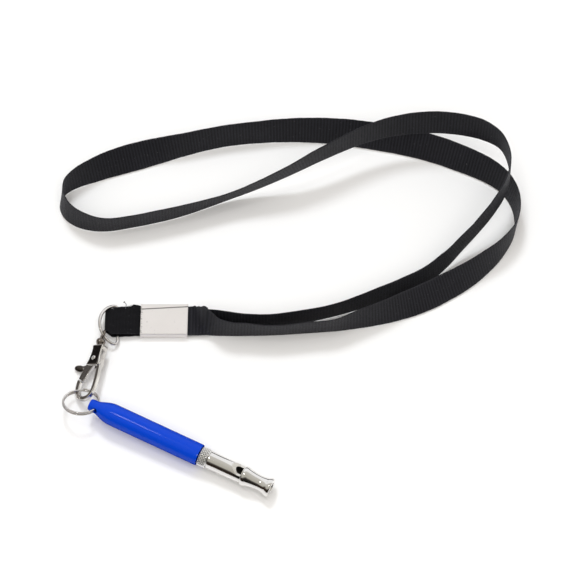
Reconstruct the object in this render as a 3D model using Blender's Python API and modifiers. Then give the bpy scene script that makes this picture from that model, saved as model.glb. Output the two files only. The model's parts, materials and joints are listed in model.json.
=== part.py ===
# Training whistle on a ribbon lanyard: an adjustable-pitch whistle, its split
# ring, a swivel trigger clasp, a wire D-ring, a crimped ribbon tab and a long
# ribbon neck loop.  Every sub-part is one named object, in metres, +Z up.
#
# Frame: the table is z = 0, the origin is the middle of the footprint, +X runs
# along the longest side of the laid-out object and +Y away from the whistle.
# All lengths below are in millimetres, and the helpers multiply them by MM.

import math

import bmesh
import bpy
import numpy as np
from mathutils import Matrix, Vector

MM = 0.001

# ---------------------------------------------------------------- dimensions
# Ribbon and its tab
RIBBON_WIDTH = 12.7                    # half-inch grosgrain
RIBBON_THICKNESS = 0.5
TAB_THICKNESS = 0.5

# Crimp: a folded sheet-metal sleeve over four layers of ribbon
CRIMP_X0, CRIMP_X1 = -60.0, -41.0
CRIMP_Y = -6.5                         # centre line of the ribbon in the crimp
CRIMP_HEIGHT = 3.3                     # outside
CRIMP_DEPTH = 14.0                     # outside, along Y
CRIMP_SHEET = 0.4
CRIMP_BEND = 0.55                      # corner radius of the sheet's mid line
CRIMP_SEAM = 0.18                      # from the centre to each edge at the seam

# Mid heights of the four layers: tab, first strand, second strand, tab
LAYER_PITCH = 0.6
TAB_LOW = 0.75
STRAND_LOW = TAB_LOW + LAYER_PITCH
STRAND_HIGH = STRAND_LOW + LAYER_PITCH
TAB_HIGH = STRAND_HIGH + LAYER_PITCH

# Tab fold round the D-ring's bar
TAB_INNER_X = -43.5                    # where the tab ends inside the crimp
FOLD_START_X = -72.3
FOLD_LOW, FOLD_HIGH = 0.45, 3.25       # mid heights where the fold starts
FOLD_REACH = 1.45                      # how far the fold goes past its start

# D-ring: bar in the tab's fold, bow outside
DRING_BAR = (-69.0, -8.85, 1.5)        # middle of the bar
DRING_WIRE_R = 0.62
DRING_HALF_BAR = 6.6
DRING_CORNER = 1.9
DRING_DEPTH = 8.3                      # bar centre line to bow centre line
DRING_TILT = 30.0                      # bow raised, degrees
DRING_EYE_ALONG = 5.4                  # where the swivel eye rides, along the bar

# Clasp: across and down are its local +X and +Z, measured from the knob
CLASP_AIM = (-0.235, -0.966, -0.031)
CLASP_ROLL = 34.3                      # +X side raised, degrees
EYE_DROP = 0.25                        # eye centre beyond the D-ring's wire
EYE_TO_KNOB = 2.7
EYE_LOOP_R, EYE_LOOP_WIRE_R = 1.9, 0.5
HOOK_HALF = 0.85                       # half thickness
HOUSING_HALF = 1.75
PIN_ACROSS, PIN_DOWN = 0.6, 8.4
PIN_HOLE_R = 0.72
PIN_HOLE_REACH = 4.0                   # cutter length each side of the middle
HANG_ACROSS, HANG_DOWN = -0.75, 21.5   # where the split ring crosses the hook
TRIGGER_HALF = 0.62
HUB_R = 1.5                            # trigger hub
GATE_R = 10.2                          # the gate's end is an arc about the pin

# Coil spring beside the trigger
SPRING_TURNS, SPRING_STEPS = 3, 16
SPRING_R, SPRING_WIRE_R = 0.5, 0.09
SPRING_START, SPRING_LENGTH = 1.15, 0.65
SPRING_DOWN = 2.1                      # coil axis, from the pin

# Lower split ring
SPLIT_R = 7.05                         # mean radius
SPLIT_WIRE_R = 0.40
SPLIT_PITCH = 0.88
SPLIT_TURNS, SPLIT_STEPS = 1.93, 32    # steps are per turn
SPLIT_START = 136.4                    # degrees
SPLIT_TOWARDS = (-0.917, 0.388, -0.090)    # roughly, cross-hole to ring centre

# Whistle, distances along its axis from the tail end
WHISTLE_TAIL = (-78.2, -45.9, 7.06)
WHISTLE_AIM = (71.1, -34.2, -2.96)
HOLE_Z = 3.25
HOLE_R = 1.2
HOLE_TILT = 25.2                       # cross-hole axis, above the horizontal
BARREL_END = 48.2
BARREL_R = 4.3
BARREL_BORE = 3.75
NECK_R = 2.55                          # narrow end of the barrel's shoulder
SHOULDER_Z0, SHOULDER_Z1, SHOULDER_STEPS = 3.2, 11.5, 8
COLLAR_BORE = 3.2                      # inside the bush and the lock nut
BUSH_Z0, BUSH_Z1 = 37.0, 47.7
BUSH_R = 3.65
NUT_Z0, NUT_Z1 = 48.45, 52.0
NUT_R = 3.85
TUBE_Z0, TUBE_SHOULDER, TUBE_END = 38.0, 52.25, 68.8
TUBE_R, TUBE_REAR_R, TUBE_BORE = 3.5, 3.1, 2.6
MOUTH_Z0, MOUTH_Z1, MOUTH_STEPS = 66.8, 79.0, 18
MOUTH_BORE = 2.2
SOCKET_R, SOCKET_END = 3.5, 69.0       # mouthpiece's recess for the tube
WINDOW_TILT = -20.0                    # window's facing, to the far side of up
WINDOW_HALF = 5.0                      # half width of the window's cutter
PISTON_Z0, PISTON_Z1 = 55.2, 58.4
PISTON_R, PISTON_BORE = 2.35, 0.78
GROOVE_R, GROOVE_WIDTH = 1.75, 1.1     # seat of the O-ring
SEAL_R, SEAL_SECTION_R = 2.15, 0.33
ROD_R = 1.1

# ------------------------------------------------------------ scene and materials
for old in list(bpy.data.objects):
    bpy.data.objects.remove(old, do_unlink=True)

PARTS = bpy.data.collections.new("training_whistle")
CUTTERS = bpy.data.collections.new("cutters")
bpy.context.scene.collection.children.link(PARTS)
bpy.context.scene.collection.children.link(CUTTERS)

PLUNGER_BRASS = dict(colour=(0.70, 0.55, 0.28), roughness=0.3, metallic=1.0)


def material(name, colour, roughness, metallic):
    mat = bpy.data.materials.new(name)
    mat.use_nodes = True
    bsdf = mat.node_tree.nodes["Principled BSDF"]
    bsdf.inputs["Base Color"].default_value = (*colour, 1.0)
    bsdf.inputs["Roughness"].default_value = roughness
    bsdf.inputs["Metallic"].default_value = metallic
    mat.diffuse_color = (*colour, 1.0)
    return mat


def place(obj, parent, collection):
    """Move the object into one collection, under its parent's frame."""
    for linked in list(obj.users_collection):
        linked.objects.unlink(obj)
    collection.objects.link(obj)
    obj.parent = parent
    return obj


def add_part(obj, parent, colour, roughness, metallic=0.0):
    place(obj, parent, PARTS)
    obj.data.materials.clear()
    obj.data.materials.append(
        material("mat_" + obj.name, colour, roughness, metallic))
    return obj


def add_cutter(obj, parent):
    """Helper solid for a Boolean, never rendered."""
    place(obj, parent, CUTTERS)
    obj.hide_render = True
    obj.display_type = "WIRE"
    return obj


def combine(obj, other, operation):
    mod = obj.modifiers.new(other.name, "BOOLEAN")
    mod.operation = operation
    mod.object = other
    mod.solver = "EXACT"


# ------------------------------------------------------------- shape helpers


def frame(name, origin, x_axis, z_axis):
    """Empty whose +Z is z_axis and whose +X is as near x_axis as it can be."""
    z = Vector(z_axis).normalized()
    x = Vector(x_axis)
    x = (x - z * x.dot(z)).normalized()
    y = z.cross(x)
    rotation = Matrix((x, y, z)).transposed().to_4x4()
    empty = bpy.data.objects.new(name, None)
    empty.empty_display_size = 0.004
    PARTS.objects.link(empty)
    empty.matrix_world = Matrix.Translation(Vector(origin) * MM) @ rotation
    return empty


def from_bmesh(name, bm):
    mesh = bpy.data.meshes.new(name)
    bm.to_mesh(mesh)
    bm.free()
    return bpy.data.objects.new(name, mesh)


def turned(name, profile, steps, origin_z=0.0, closed=False):
    """Turned shape: (radius, z) points, down the outer side first."""
    mesh = bpy.data.meshes.new(name)
    verts = [(radius * MM, 0.0, (z - origin_z) * MM) for radius, z in profile]
    edges = [(i, i + 1) for i in range(len(verts) - 1)]
    if closed:
        edges.append((len(verts) - 1, 0))
    mesh.from_pydata(verts, edges, [])
    obj = bpy.data.objects.new(name, mesh)
    screw = obj.modifiers.new("turn", "SCREW")
    screw.axis = "Z"
    screw.angle = 2.0 * math.pi
    screw.screw_offset = 0.0
    screw.steps = steps
    screw.render_steps = steps
    screw.use_merge_vertices = True
    screw.merge_threshold = 0.000002
    screw.use_smooth_shade = True
    screw.use_normal_calculate = False
    return obj


def torus(name, radius, section_radius, major_segments):
    bpy.ops.mesh.primitive_torus_add(
        major_segments=major_segments, minor_segments=8,
        major_radius=radius * MM, minor_radius=section_radius * MM)
    obj = bpy.context.object
    obj.name = name
    return obj


def catmull_rom(before, start, end, after, t):
    """Point at t (0 to 1) of the Catmull-Rom span from start to end."""
    return tuple(
        0.5 * (2 * b + (c - a) * t + (2 * a - 5 * b + 4 * c - d) * t * t
               + (3 * b - a - 3 * c + d) * t ** 3)
        for a, b, c, d in zip(before, start, end, after))


def rounded(points, per):
    """Closed Catmull-Rom loop, per steps between each two outline points."""
    count = len(points)
    return [catmull_rom(*(points[(i + k) % count] for k in (-1, 0, 1, 2)), j / per)
            for i in range(count) for j in range(per)]


def through(stops, per):
    """Open Catmull-Rom line through the stops, per steps between each two."""
    last = len(stops) - 1
    line = [catmull_rom(stops[max(i - 1, 0)], stops[i], stops[i + 1],
                        stops[min(i + 2, last)], j / per)
            for i in range(last) for j in range(per)]
    return line + [stops[-1]]


def curve_object(name, dimensions, points, cyclic):
    """Poly curve through (x, y, z) points, with its curve data and spline."""
    curve = bpy.data.curves.new(name, "CURVE")
    curve.dimensions = dimensions
    spline = curve.splines.new("POLY")
    spline.points.add(len(points) - 1)
    for spline_point, (x, y, z) in zip(spline.points, points):
        spline_point.co = (x * MM, y * MM, z * MM, 1.0)
    spline.use_cyclic_u = cyclic
    return bpy.data.objects.new(name, curve), curve, spline


def wire(name, points, radius, cyclic=False):
    obj, curve, spline = curve_object(name, "3D", points, cyclic)
    curve.fill_mode = "FULL"
    curve.bevel_depth = radius * MM
    curve.bevel_resolution = 2
    curve.use_fill_caps = not cyclic
    spline.use_smooth = True
    return obj


def as_mesh(obj):
    """Replace an unlinked curve object with a plain mesh, its caps welded."""
    name = obj.name
    CUTTERS.objects.link(obj)
    bpy.context.view_layer.update()
    graph = bpy.context.evaluated_depsgraph_get()
    mesh = bpy.data.meshes.new_from_object(obj.evaluated_get(graph))
    bpy.data.objects.remove(obj, do_unlink=True)
    bm = bmesh.new()
    bm.from_mesh(mesh)
    bmesh.ops.remove_doubles(bm, verts=bm.verts, dist=0.000002)
    bmesh.ops.recalc_face_normals(bm, faces=bm.faces)
    bm.to_mesh(mesh)
    bm.free()
    return bpy.data.objects.new(name, mesh)


def plate(name, outline, half, edge, segments=2):
    """Flat (across, down) outline, half thickness each way, bevelled edges."""
    points = [(across, down, 0.0) for across, down in outline]
    flat, curve, _ = curve_object(name, "2D", points, True)
    curve.fill_mode = "BOTH"
    curve.extrude = half * MM
    obj = as_mesh(flat)
    obj.data.transform(Matrix.Rotation(math.radians(90.0), 4, "X"))
    bevel = obj.modifiers.new("edge", "BEVEL")
    bevel.width = edge * MM
    bevel.segments = segments
    bevel.limit_method = "ANGLE"
    bevel.angle_limit = math.radians(60.0)
    bevel.use_clamp_overlap = True
    return obj


def cylinder(name, radius, start, end, segments=24):
    """Solid cylinder between two points."""
    start, end = Vector(start) * MM, Vector(end) * MM
    bm = bmesh.new()
    bmesh.ops.create_cone(bm, cap_ends=True, segments=segments,
                          radius1=radius * MM, radius2=radius * MM,
                          depth=(end - start).length)
    turn = Vector((0, 0, 1)).rotation_difference(end - start).to_matrix().to_4x4()
    bmesh.ops.transform(bm, verts=bm.verts,
                        matrix=Matrix.Translation((start + end) / 2) @ turn)
    return from_bmesh(name, bm)


def block(name, low, high):
    """Box between two opposite corners."""
    size = [(top - bottom) * MM for bottom, top in zip(low, high)]
    middle = [(top + bottom) / 2 * MM for bottom, top in zip(low, high)]
    bm = bmesh.new()
    bmesh.ops.create_cube(bm, size=1.0)
    bmesh.ops.transform(bm, verts=bm.verts, matrix=Matrix.Translation(middle)
                        @ Matrix.Diagonal((*size, 1.0)))
    return from_bmesh(name, bm)


def strip(name, edges, thickness):
    """Open strip between two edge lines, given thickness by Solidify."""
    verts = [[c * MM for c in point] for pair in edges for point in pair]
    faces = [(2 * i, 2 * i + 2, 2 * i + 3, 2 * i + 1)
             for i in range(len(edges) - 1)]
    mesh = bpy.data.meshes.new(name)
    mesh.from_pydata(verts, [], faces)
    mesh.update()
    obj = bpy.data.objects.new(name, mesh)
    solidify = obj.modifiers.new("cloth", "SOLIDIFY")
    solidify.thickness = thickness * MM
    solidify.offset = 0.0
    solidify.use_even_offset = True
    return obj


# ------------------------------------------------------------ the neck ribbon
# The ribbon stands on its lower edge.  Each stop gives where that edge is
# (x, y, height) and how far the ribbon leans to the left of its run, in
# degrees; 90 is lying flat.  The strand that comes back over the other one is
# carried up over its top edge.
FLAT_Y = CRIMP_Y - RIBBON_WIDTH / 2
RIBBON_STOPS = [
    (-57, FLAT_Y, STRAND_LOW, 90), (-48, FLAT_Y, STRAND_LOW, 90),
    (-42, FLAT_Y, STRAND_LOW, 90), (-40, FLAT_Y, STRAND_LOW, 90),
    (-36.8, FLAT_Y, 1.33, 84), (-34.4, -12.75, 1.2, 55), (-32, -12.4, 1, 31),
    (-29, -11.8, 0.9, 21), (-20, -10.7, 0.5, 8), (-10, -9.5, 0.4, 0),
    (0, -8, 0.4, -2), (18, -3.8, 0.4, -4), (37, 2.5, 0.4, 3),
    (47, 6, 0.4, 8), (56, 11, 0.4, 8), (64, 18, 0.9, 7),
    (71, 25, 3.8, 3), (78, 31.5, 8, 1), (84, 38, 11.6, 3),
    (89, 46.5, 13.3, 4), (91, 57, 13.4, 3), (88, 67.5, 13.2, 2),
    (80, 72.8, 12.8, -7), (70, 75.5, 12.4, -11), (60, 76.4, 12.2, -12),
    (50, 76, 12, -10), (40, 74.3, 12, -6), (30, 71, 12, -2),
    (20.5, 66.7, 11.8, 2), (11, 62.3, 11, 6), (2, 58.7, 8.8, 12),
    (-7.5, 55.8, 5.6, 16), (-17, 53.2, 2.6, 18), (-26.7, 50.2, 0.8, 18),
    (-36.3, 46.3, 0.4, 14), (-46, 42.6, 0.4, 10), (-55.7, 39.8, 0.4, 8),
    (-65.9, 37.5, 0.4, 8), (-76.1, 35.8, 0.4, 5), (-85.8, 37, 0.4, -5),
    (-92.7, 41.2, 0.4, -11), (-95.6, 47.2, 0.4, -12), (-93.9, 53, 0.4, -4),
    (-89.3, 56.5, 0.4, 6), (-82.2, 59.3, 0.4, 18), (-73, 62.5, 0.4, 29),
    (-63.3, 65.6, 0.4, 33), (-53.6, 69, 0.4, 26), (-44.4, 72.3, 0.4, 17),
    (-34.7, 75.3, 0.4, 13), (-25, 77.5, 0.4, 12), (-15, 78.7, 0.4, 13),
    (-5, 79.3, 0.4, 17), (5, 79.3, 0.4, 21), (15, 78.7, 0.4, 25),
    (25, 77.5, 0.4, 29), (34, 75.8, 0.4, 32), (44, 73.8, 0.4, 34),
    (54, 71.2, 0.4, 33), (63, 68.1, 0.4, 32), (72, 64.3, 0.4, 29),
    (81, 60, 0.4, 23), (88.5, 54.3, 0.4, 15), (93, 45.5, 0.4, 8),
    (93, 34.5, 0.4, 1), (88.2, 24.5, 0.4, -9), (81.5, 16.3, 0.4, -21),
    (74, 9.5, 0.4, -30), (65.5, 3.8, 0.4, -36), (57, -0.9, 0.4, -37),
    (48, -4.5, 0.4, -32), (38.5, -7.2, 0.4, -21), (29, -9, 0.4, -11),
    (20, -10.3, 0.4, -3), (10.5, -11.1, 0.4, 4), (1, -11.8, 0.4, 9),
    (-8.5, -12.4, 0.5, 9), (-18, -12.7, 0.7, 4), (-24, -12.85, 0.95, 2),
    (-29.8, -12.95, 1.3, -8), (-33.9, -12.9, 1.8, -28),
    (-36.5, FLAT_Y, 1.95, -60), (-38.4, FLAT_Y, 1.95, -85),
    (-40, FLAT_Y, STRAND_HIGH, -90), (-42, FLAT_Y, STRAND_HIGH, -90),
    (-48, FLAT_Y, STRAND_HIGH, -90), (-57, FLAT_Y, STRAND_HIGH, -90),
]


def ribbon_edges(stops, per, width):
    line = through(stops, per)
    edges = []
    for i, (x, y, z, lean) in enumerate(line):
        before = Vector(line[max(i - 1, 0)][:3])
        after = Vector(line[min(i + 1, len(line) - 1)][:3])
        run = (after - before).normalized()
        left = Vector((-run.y, run.x, 0.0)).normalized()
        up = run.cross(left).normalized()
        angle = math.radians(lean)
        across = left * math.sin(angle) + up * math.cos(angle)
        low = Vector((x, y, z))
        edges.append((low, low + across * width))
    return edges


ribbon = strip("neck_ribbon", ribbon_edges(RIBBON_STOPS, 2, RIBBON_WIDTH),
               RIBBON_THICKNESS)
add_part(ribbon, None, colour=(0.012, 0.012, 0.014), roughness=0.75)

# --------------------------------------------------------------- the ribbon tab
# (x, height) of the tab's mid surface, below and above the D-ring's bar
TAB_LOWER_LEG = [(TAB_INNER_X, TAB_LOW), (-60.5, TAB_LOW), (-63.5, 0.62),
                 (-66.5, 0.42), (-70.0, 0.35), (FOLD_START_X, FOLD_LOW)]
TAB_UPPER_LEG = [(FOLD_START_X, FOLD_HIGH), (-70.0, 3.35), (-66.5, 3.2),
                 (-63.5, 2.85), (-60.5, TAB_HIGH), (TAB_INNER_X, TAB_HIGH)]


def tab_edges():
    fold = []
    for k in range(1, 8):
        angle = math.radians(-90.0 + k * 22.5)
        fold.append((FOLD_START_X - FOLD_REACH * math.cos(angle),
                     (FOLD_LOW + FOLD_HIGH) / 2
                     + (FOLD_HIGH - FOLD_LOW) / 2 * math.sin(angle)))
    edges = []
    for x, z in TAB_LOWER_LEG + fold + TAB_UPPER_LEG:
        # The sides move in beyond the crimp, and shift again at the fold.
        pinch = min(1.0, max(0.0, (-61.0 - x) / 12.0)) ** 1.3
        corner = min(1.0, max(0.0, (-71.4 - x) / 2.3))
        near = CRIMP_Y - RIBBON_WIDTH / 2 - 0.5 * pinch + 2.0 * corner
        far = CRIMP_Y + RIBBON_WIDTH / 2 - 1.75 * pinch - 0.9 * corner
        edges.append(((x, near, z), (x, far, z)))
    return edges


tab = strip("ribbon_tab", tab_edges(), TAB_THICKNESS)
add_part(tab, None, colour=(0.010, 0.010, 0.012), roughness=0.8)

# -------------------------------------------------------------------- the crimp


def crimp_profile():
    """(y, z) mid line of the folded sheet; the seam is underneath."""
    bottom = CRIMP_SHEET / 2
    side = CRIMP_DEPTH / 2 - CRIMP_SHEET / 2 - CRIMP_BEND
    low = bottom + CRIMP_BEND
    high = CRIMP_HEIGHT - CRIMP_SHEET / 2 - CRIMP_BEND
    points = [(CRIMP_SEAM, bottom)]
    for y, z, start in ((side, low, -90), (side, high, 0),
                        (-side, high, 90), (-side, low, 180)):
        for k in range(5):
            angle = math.radians(start + 22.5 * k)
            points.append((y + CRIMP_BEND * math.cos(angle),
                           z + CRIMP_BEND * math.sin(angle)))
    points.append((-CRIMP_SEAM, bottom))
    return points


crimp = strip("crimp_clip",
              [((CRIMP_X0, CRIMP_Y + y, z), (CRIMP_X1, CRIMP_Y + y, z))
               for y, z in crimp_profile()], CRIMP_SHEET)
add_part(crimp, None, colour=(0.72, 0.70, 0.66), roughness=0.35, metallic=1.0)

# ------------------------------------------------------------------- the D-ring
# Local +X is OUTWARD, bar to bow, and local +Y is ALONG the bar.
dring_tilt = math.radians(DRING_TILT)
OUTWARD = Vector((-math.cos(dring_tilt), 0.0, math.sin(dring_tilt)))
ALONG = Vector((0.0, -1.0, 0.0))
dring_frame = frame("dring_axis", DRING_BAR, OUTWARD, OUTWARD.cross(ALONG))

# The bow is the arc that runs smoothly into both corner arcs.
bow_to_corner = DRING_DEPTH - DRING_CORNER
BOW_CENTRE = ((bow_to_corner ** 2 - DRING_HALF_BAR ** 2 - DRING_CORNER ** 2)
              / (2.0 * (bow_to_corner - DRING_CORNER)))
BOW_R = DRING_DEPTH - BOW_CENTRE
CORNER_END = math.atan2(DRING_CORNER - BOW_CENTRE, DRING_HALF_BAR)


def dring_path():
    """(out, along) points of the wire's centre line, once round."""

    def arc_point(out, along, radius, angle):
        return (out + radius * math.sin(angle), along + radius * math.cos(angle))

    corner_sweep = math.pi / 2 + CORNER_END
    points = [(0.0, -DRING_HALF_BAR + k * DRING_HALF_BAR / 2) for k in range(5)]
    for k in range(1, 7):
        points.append(arc_point(DRING_CORNER, DRING_HALF_BAR, DRING_CORNER,
                                -math.pi / 2 + k / 6 * corner_sweep))
    for k in range(1, 20):
        angle = CORNER_END + k / 20 * (math.pi - 2 * CORNER_END)
        points.append(arc_point(BOW_CENTRE, 0.0, BOW_R, angle))
    for k in range(6):
        points.append(arc_point(DRING_CORNER, -DRING_HALF_BAR, DRING_CORNER,
                                math.pi - CORNER_END + k / 6 * corner_sweep))
    return points


dring = wire("lanyard_ring", [(out, along, 0.0) for out, along in dring_path()],
             DRING_WIRE_R, cyclic=True)
add_part(dring, dring_frame, colour=(0.78, 0.77, 0.75), roughness=0.18, metallic=1.0)

# ----------------------------------------------------- frames of eye and clasp
aim = Vector(CLASP_AIM).normalized()
eye_from_bow = math.sqrt(BOW_R ** 2 - DRING_EYE_ALONG ** 2)
eye_wire_run = (ALONG - OUTWARD * DRING_EYE_ALONG / eye_from_bow).normalized()
EYE = (Vector(DRING_BAR) + OUTWARD * (BOW_CENTRE + eye_from_bow)
       + ALONG * DRING_EYE_ALONG + aim * EYE_DROP)
eye_frame = frame("eye_axis", EYE, eye_wire_run.cross(aim), aim)

clasp_roll = math.radians(CLASP_ROLL)
level = Vector((-aim.y, aim.x, 0.0)).normalized()
lift = aim.cross(level)
ACROSS = level * math.cos(clasp_roll) + lift * math.sin(clasp_roll)
KNOB = EYE + aim * EYE_TO_KNOB
clasp_frame = frame("clasp_axis", KNOB, ACROSS, aim)

# --------------------------------------------------------------- the swivel eye
# (radius, z from the knob): shank end, shank, then the knob
SWIVEL_PROFILE = [
    (0.0, 5.2), (0.8, 5.2), (0.9, 5.05), (0.9, 4.7), (0.8, 4.55),
    (0.5, 4.55), (0.5, 2.15), (1.0, 2.15), (1.1, 1.9), (1.45, 1.55),
    (1.8, 0.9), (1.9, 0.3), (1.75, -0.35), (1.3, -0.85), (0.7, -1.05),
    (0.0, -1.05)]
eye_loop = torus("eye_loop", EYE_LOOP_R, EYE_LOOP_WIRE_R, major_segments=22)
eye_loop.data.transform(Matrix.Rotation(math.radians(90.0), 4, "X"))
add_cutter(eye_loop, eye_frame)
swivel = turned("swivel_eye", SWIVEL_PROFILE, steps=16, origin_z=-EYE_TO_KNOB)
add_part(swivel, eye_frame, colour=(0.75, 0.73, 0.70), roughness=0.16, metallic=1.0)
combine(swivel, eye_loop, "UNION")

# --------------------------------------------------------------- the clasp body
# Outlines as (across, down) from the knob
HOOK_OUTLINE = [
    (-1.6, 2.5), (1.0, 2.4), (3.1, 2.5), (3.4, 4.5), (3.6, 7.5),
    (4.1, 10.5), (4.6, 13.5), (4.9, 16.5), (4.95, 19.5), (4.8, 21.8),
    (4.1, 24.0), (2.6, 25.8), (0.6, 26.6), (-1.7, 26.2), (-3.6, 24.8),
    (-4.8, 22.7), (-5.3, 20.6), (-5.4, 18.6), (-5.2, 17.35), (-4.2, 17.85),
    (-3.35, 18.4), (-3.35, 19.6), (-3.2, 21.5), (-2.6, 23.2), (-1.4, 24.5),
    (0.6, 24.9), (2.2, 24.2), (3.0, 22.7), (3.25, 20.8), (3.2, 18.6),
    (3.0, 16.2), (2.7, 13.6), (2.3, 12.0), (1.2, 11.4), (-0.8, 11.3),
    (-2.3, 11.0), (-1.8, 9.2), (-1.5, 6.5)]
HOUSING_OUTLINE = [
    (-1.9, 2.5), (0.8, 2.35), (3.3, 2.5), (3.4, 4.5), (3.6, 7.5), (4.1, 10.4),
    (3.7, 11.5), (1.6, 11.7), (-0.6, 11.6), (-2.5, 11.1), (-1.9, 9.0),
    (-1.6, 6.5), (-1.6, 4.2)]
clasp = plate("clasp_body", rounded(HOOK_OUTLINE, 2), HOOK_HALF, edge=0.4)
add_part(clasp, clasp_frame, colour=(0.74, 0.72, 0.69), roughness=0.16, metallic=1.0)
housing = plate("housing", rounded(HOUSING_OUTLINE, 2), HOUSING_HALF, edge=0.5)
combine(clasp, add_cutter(housing, clasp_frame), "UNION")
for cutter in (
        block("trigger_slot", (-6.0, -HOOK_HALF, 6.1), (2.6, HOOK_HALF, 13.0)),
        cylinder("shank_bore", 0.62, (0, 0, 0.5), (0, 0, 5.0)),
        cylinder("shank_pocket", 1.05, (0, 0, 4.25), (0, 0, 6.6)),
        cylinder("pin_hole", PIN_HOLE_R, (PIN_ACROSS, -PIN_HOLE_REACH, PIN_DOWN),
                 (PIN_ACROSS, PIN_HOLE_REACH, PIN_DOWN), segments=20)):
    combine(clasp, add_cutter(cutter, clasp_frame), "DIFFERENCE")

# ------------------------------------------------------------------ the trigger
trigger_frame = frame("trigger_axis", KNOB + ACROSS * PIN_ACROSS + aim * PIN_DOWN,
                      ACROSS, aim)

# (across, down) from the pin: one side of the gate arm, then the other side
# with the thumb tab
ARM_INNER = [(1.15, 1.0), (0.75, 1.9), (0.1, 2.9), (-0.7, 4.4), (-1.55, 6.2),
             (-2.3, 8.4)]
ARM_OUTER = [(-5.5, 7.2), (-5.15, 6.0), (-5.0, 5.2), (-5.9, 5.15),
             (-6.4, 4.2), (-6.1, 3.0), (-4.4, 2.55), (-3.4, 1.75),
             (-2.4, 0.95), (-1.7, 0.3)]


def arc(radius, start, step, count):
    """Points on an arc about the pin, angles in degrees."""
    angles = [math.radians(start + k * step) for k in range(count)]
    return [(radius * math.cos(angle), radius * math.sin(angle))
            for angle in angles]


trigger_outline = (arc(HUB_R, 200.0, 20.0, 9) + ARM_INNER
                   + arc(GATE_R, 106.0, 4.5, 5) + ARM_OUTER)
trigger = plate("clasp_trigger", trigger_outline, TRIGGER_HALF, edge=0.2, segments=1)
add_part(trigger, trigger_frame, colour=(0.70, 0.68, 0.65), roughness=0.2,
         metallic=1.0)

bpy.ops.mesh.primitive_uv_sphere_add(segments=20, ring_count=10, radius=MM)
thumb_pad = bpy.context.object
thumb_pad.name = "thumb_pad"
thumb_pad.data.transform(Matrix.Translation((-6.7 * MM, 0.75 * MM, 4.0 * MM))
                         @ Matrix.Rotation(math.radians(-25.0), 4, "Z")
                         @ Matrix.Diagonal((2.2, 0.95, 1.35, 1.0)))
combine(trigger, add_cutter(thumb_pad, trigger_frame), "UNION")
trigger_bore = cylinder("trigger_bore", PIN_HOLE_R, (0, -PIN_HOLE_REACH, 0),
                        (0, PIN_HOLE_REACH, 0), segments=20)
combine(trigger, add_cutter(trigger_bore, trigger_frame), "DIFFERENCE")

# ------------------------------------------------------- trigger pin and spring
# (radius, z) from the pin's end to its shank; the other half is its mirror
PIN_HEAD = [(0.0, 2.15), (0.55, 2.12), (0.88, 2.0), (0.95, 1.85), (0.6, 1.85)]
pin = turned("trigger_pin",
             PIN_HEAD + [(radius, -z) for radius, z in reversed(PIN_HEAD)], steps=20)
add_part(pin, trigger_frame, colour=(0.72, 0.71, 0.68), roughness=0.2, metallic=1.0)
pin.rotation_euler = (math.radians(90.0), 0.0, 0.0)


def spring_path():
    count = SPRING_TURNS * SPRING_STEPS
    points = []
    for k in range(count + 1):
        angle = 2.0 * math.pi * k / SPRING_STEPS
        points.append((SPRING_START + SPRING_LENGTH * k / count,
                       SPRING_R * math.cos(angle),
                       SPRING_DOWN + SPRING_R * math.sin(angle)))
    return points


spring = wire("trigger_spring", spring_path(), SPRING_WIRE_R)
add_part(spring, trigger_frame, colour=(0.62, 0.61, 0.60), roughness=0.3,
         metallic=1.0)

# ------------------------------------------------------------ the whistle frame
# The origin is in the cross-hole, local +Z runs to the mouth, +X is up and +Y
# is towards the near side (world -Y).
whistle_aim = Vector(WHISTLE_AIM).normalized()
HOLE = Vector(WHISTLE_TAIL) + whistle_aim * HOLE_Z
whistle_frame = frame("whistle_axis", HOLE, (0.0, 0.0, 1.0), whistle_aim)

# ------------------------------------------------------------------- the barrel


def barrel_profile():
    """(radius, z) from the open end down to the closed tail."""
    profile = [(0.0, BARREL_END), (BARREL_R - 0.25, BARREL_END),
               (BARREL_R - 0.07, BARREL_END - 0.08),
               (BARREL_R, BARREL_END - 0.3)]
    for k in range(SHOULDER_STEPS, -1, -1):
        t = k / SHOULDER_STEPS
        swell = math.sin(t * math.pi / 2) ** 1.15
        profile.append((NECK_R + (BARREL_R - NECK_R) * swell,
                        SHOULDER_Z0 + (SHOULDER_Z1 - SHOULDER_Z0) * t))
    return profile + [(2.45, 2.0), (2.35, 0.5), (2.15, 0.12), (1.8, 0.0),
                      (0.0, 0.0)]


barrel = turned("barrel", barrel_profile(), steps=36, origin_z=HOLE_Z)
add_part(barrel, whistle_frame, colour=(0.01, 0.06, 0.62), roughness=0.18)
hollow = turned("barrel_hollow", [
    (0.0, BARREL_END + 2.0), (BARREL_BORE, BARREL_END + 2.0),
    (BARREL_BORE, 14.0), (2.6, 11.6), (1.25, 9.8), (1.25, 6.4), (0.0, 6.4)],
    steps=36, origin_z=HOLE_Z)
combine(barrel, add_cutter(hollow, whistle_frame), "DIFFERENCE")

hole_run = Vector((math.sin(math.radians(HOLE_TILT)),
                   math.cos(math.radians(HOLE_TILT)), 0.0))
cross_hole = cylinder("cross_hole", HOLE_R, hole_run * -6, hole_run * 6, segments=28)
combine(barrel, add_cutter(cross_hole, whistle_frame), "DIFFERENCE")

# ------------------------------------------------------- barrel bush, lock nut


def collar(name, outer, z_low, z_high, chamfer, steps):
    """Chamfered ring round the head tube."""
    return turned(name, [
        (COLLAR_BORE, z_high), (outer - chamfer, z_high),
        (outer, z_high - chamfer), (outer, z_low + chamfer),
        (outer - chamfer, z_low), (COLLAR_BORE, z_low)],
        steps=steps, origin_z=HOLE_Z, closed=True)


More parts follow.
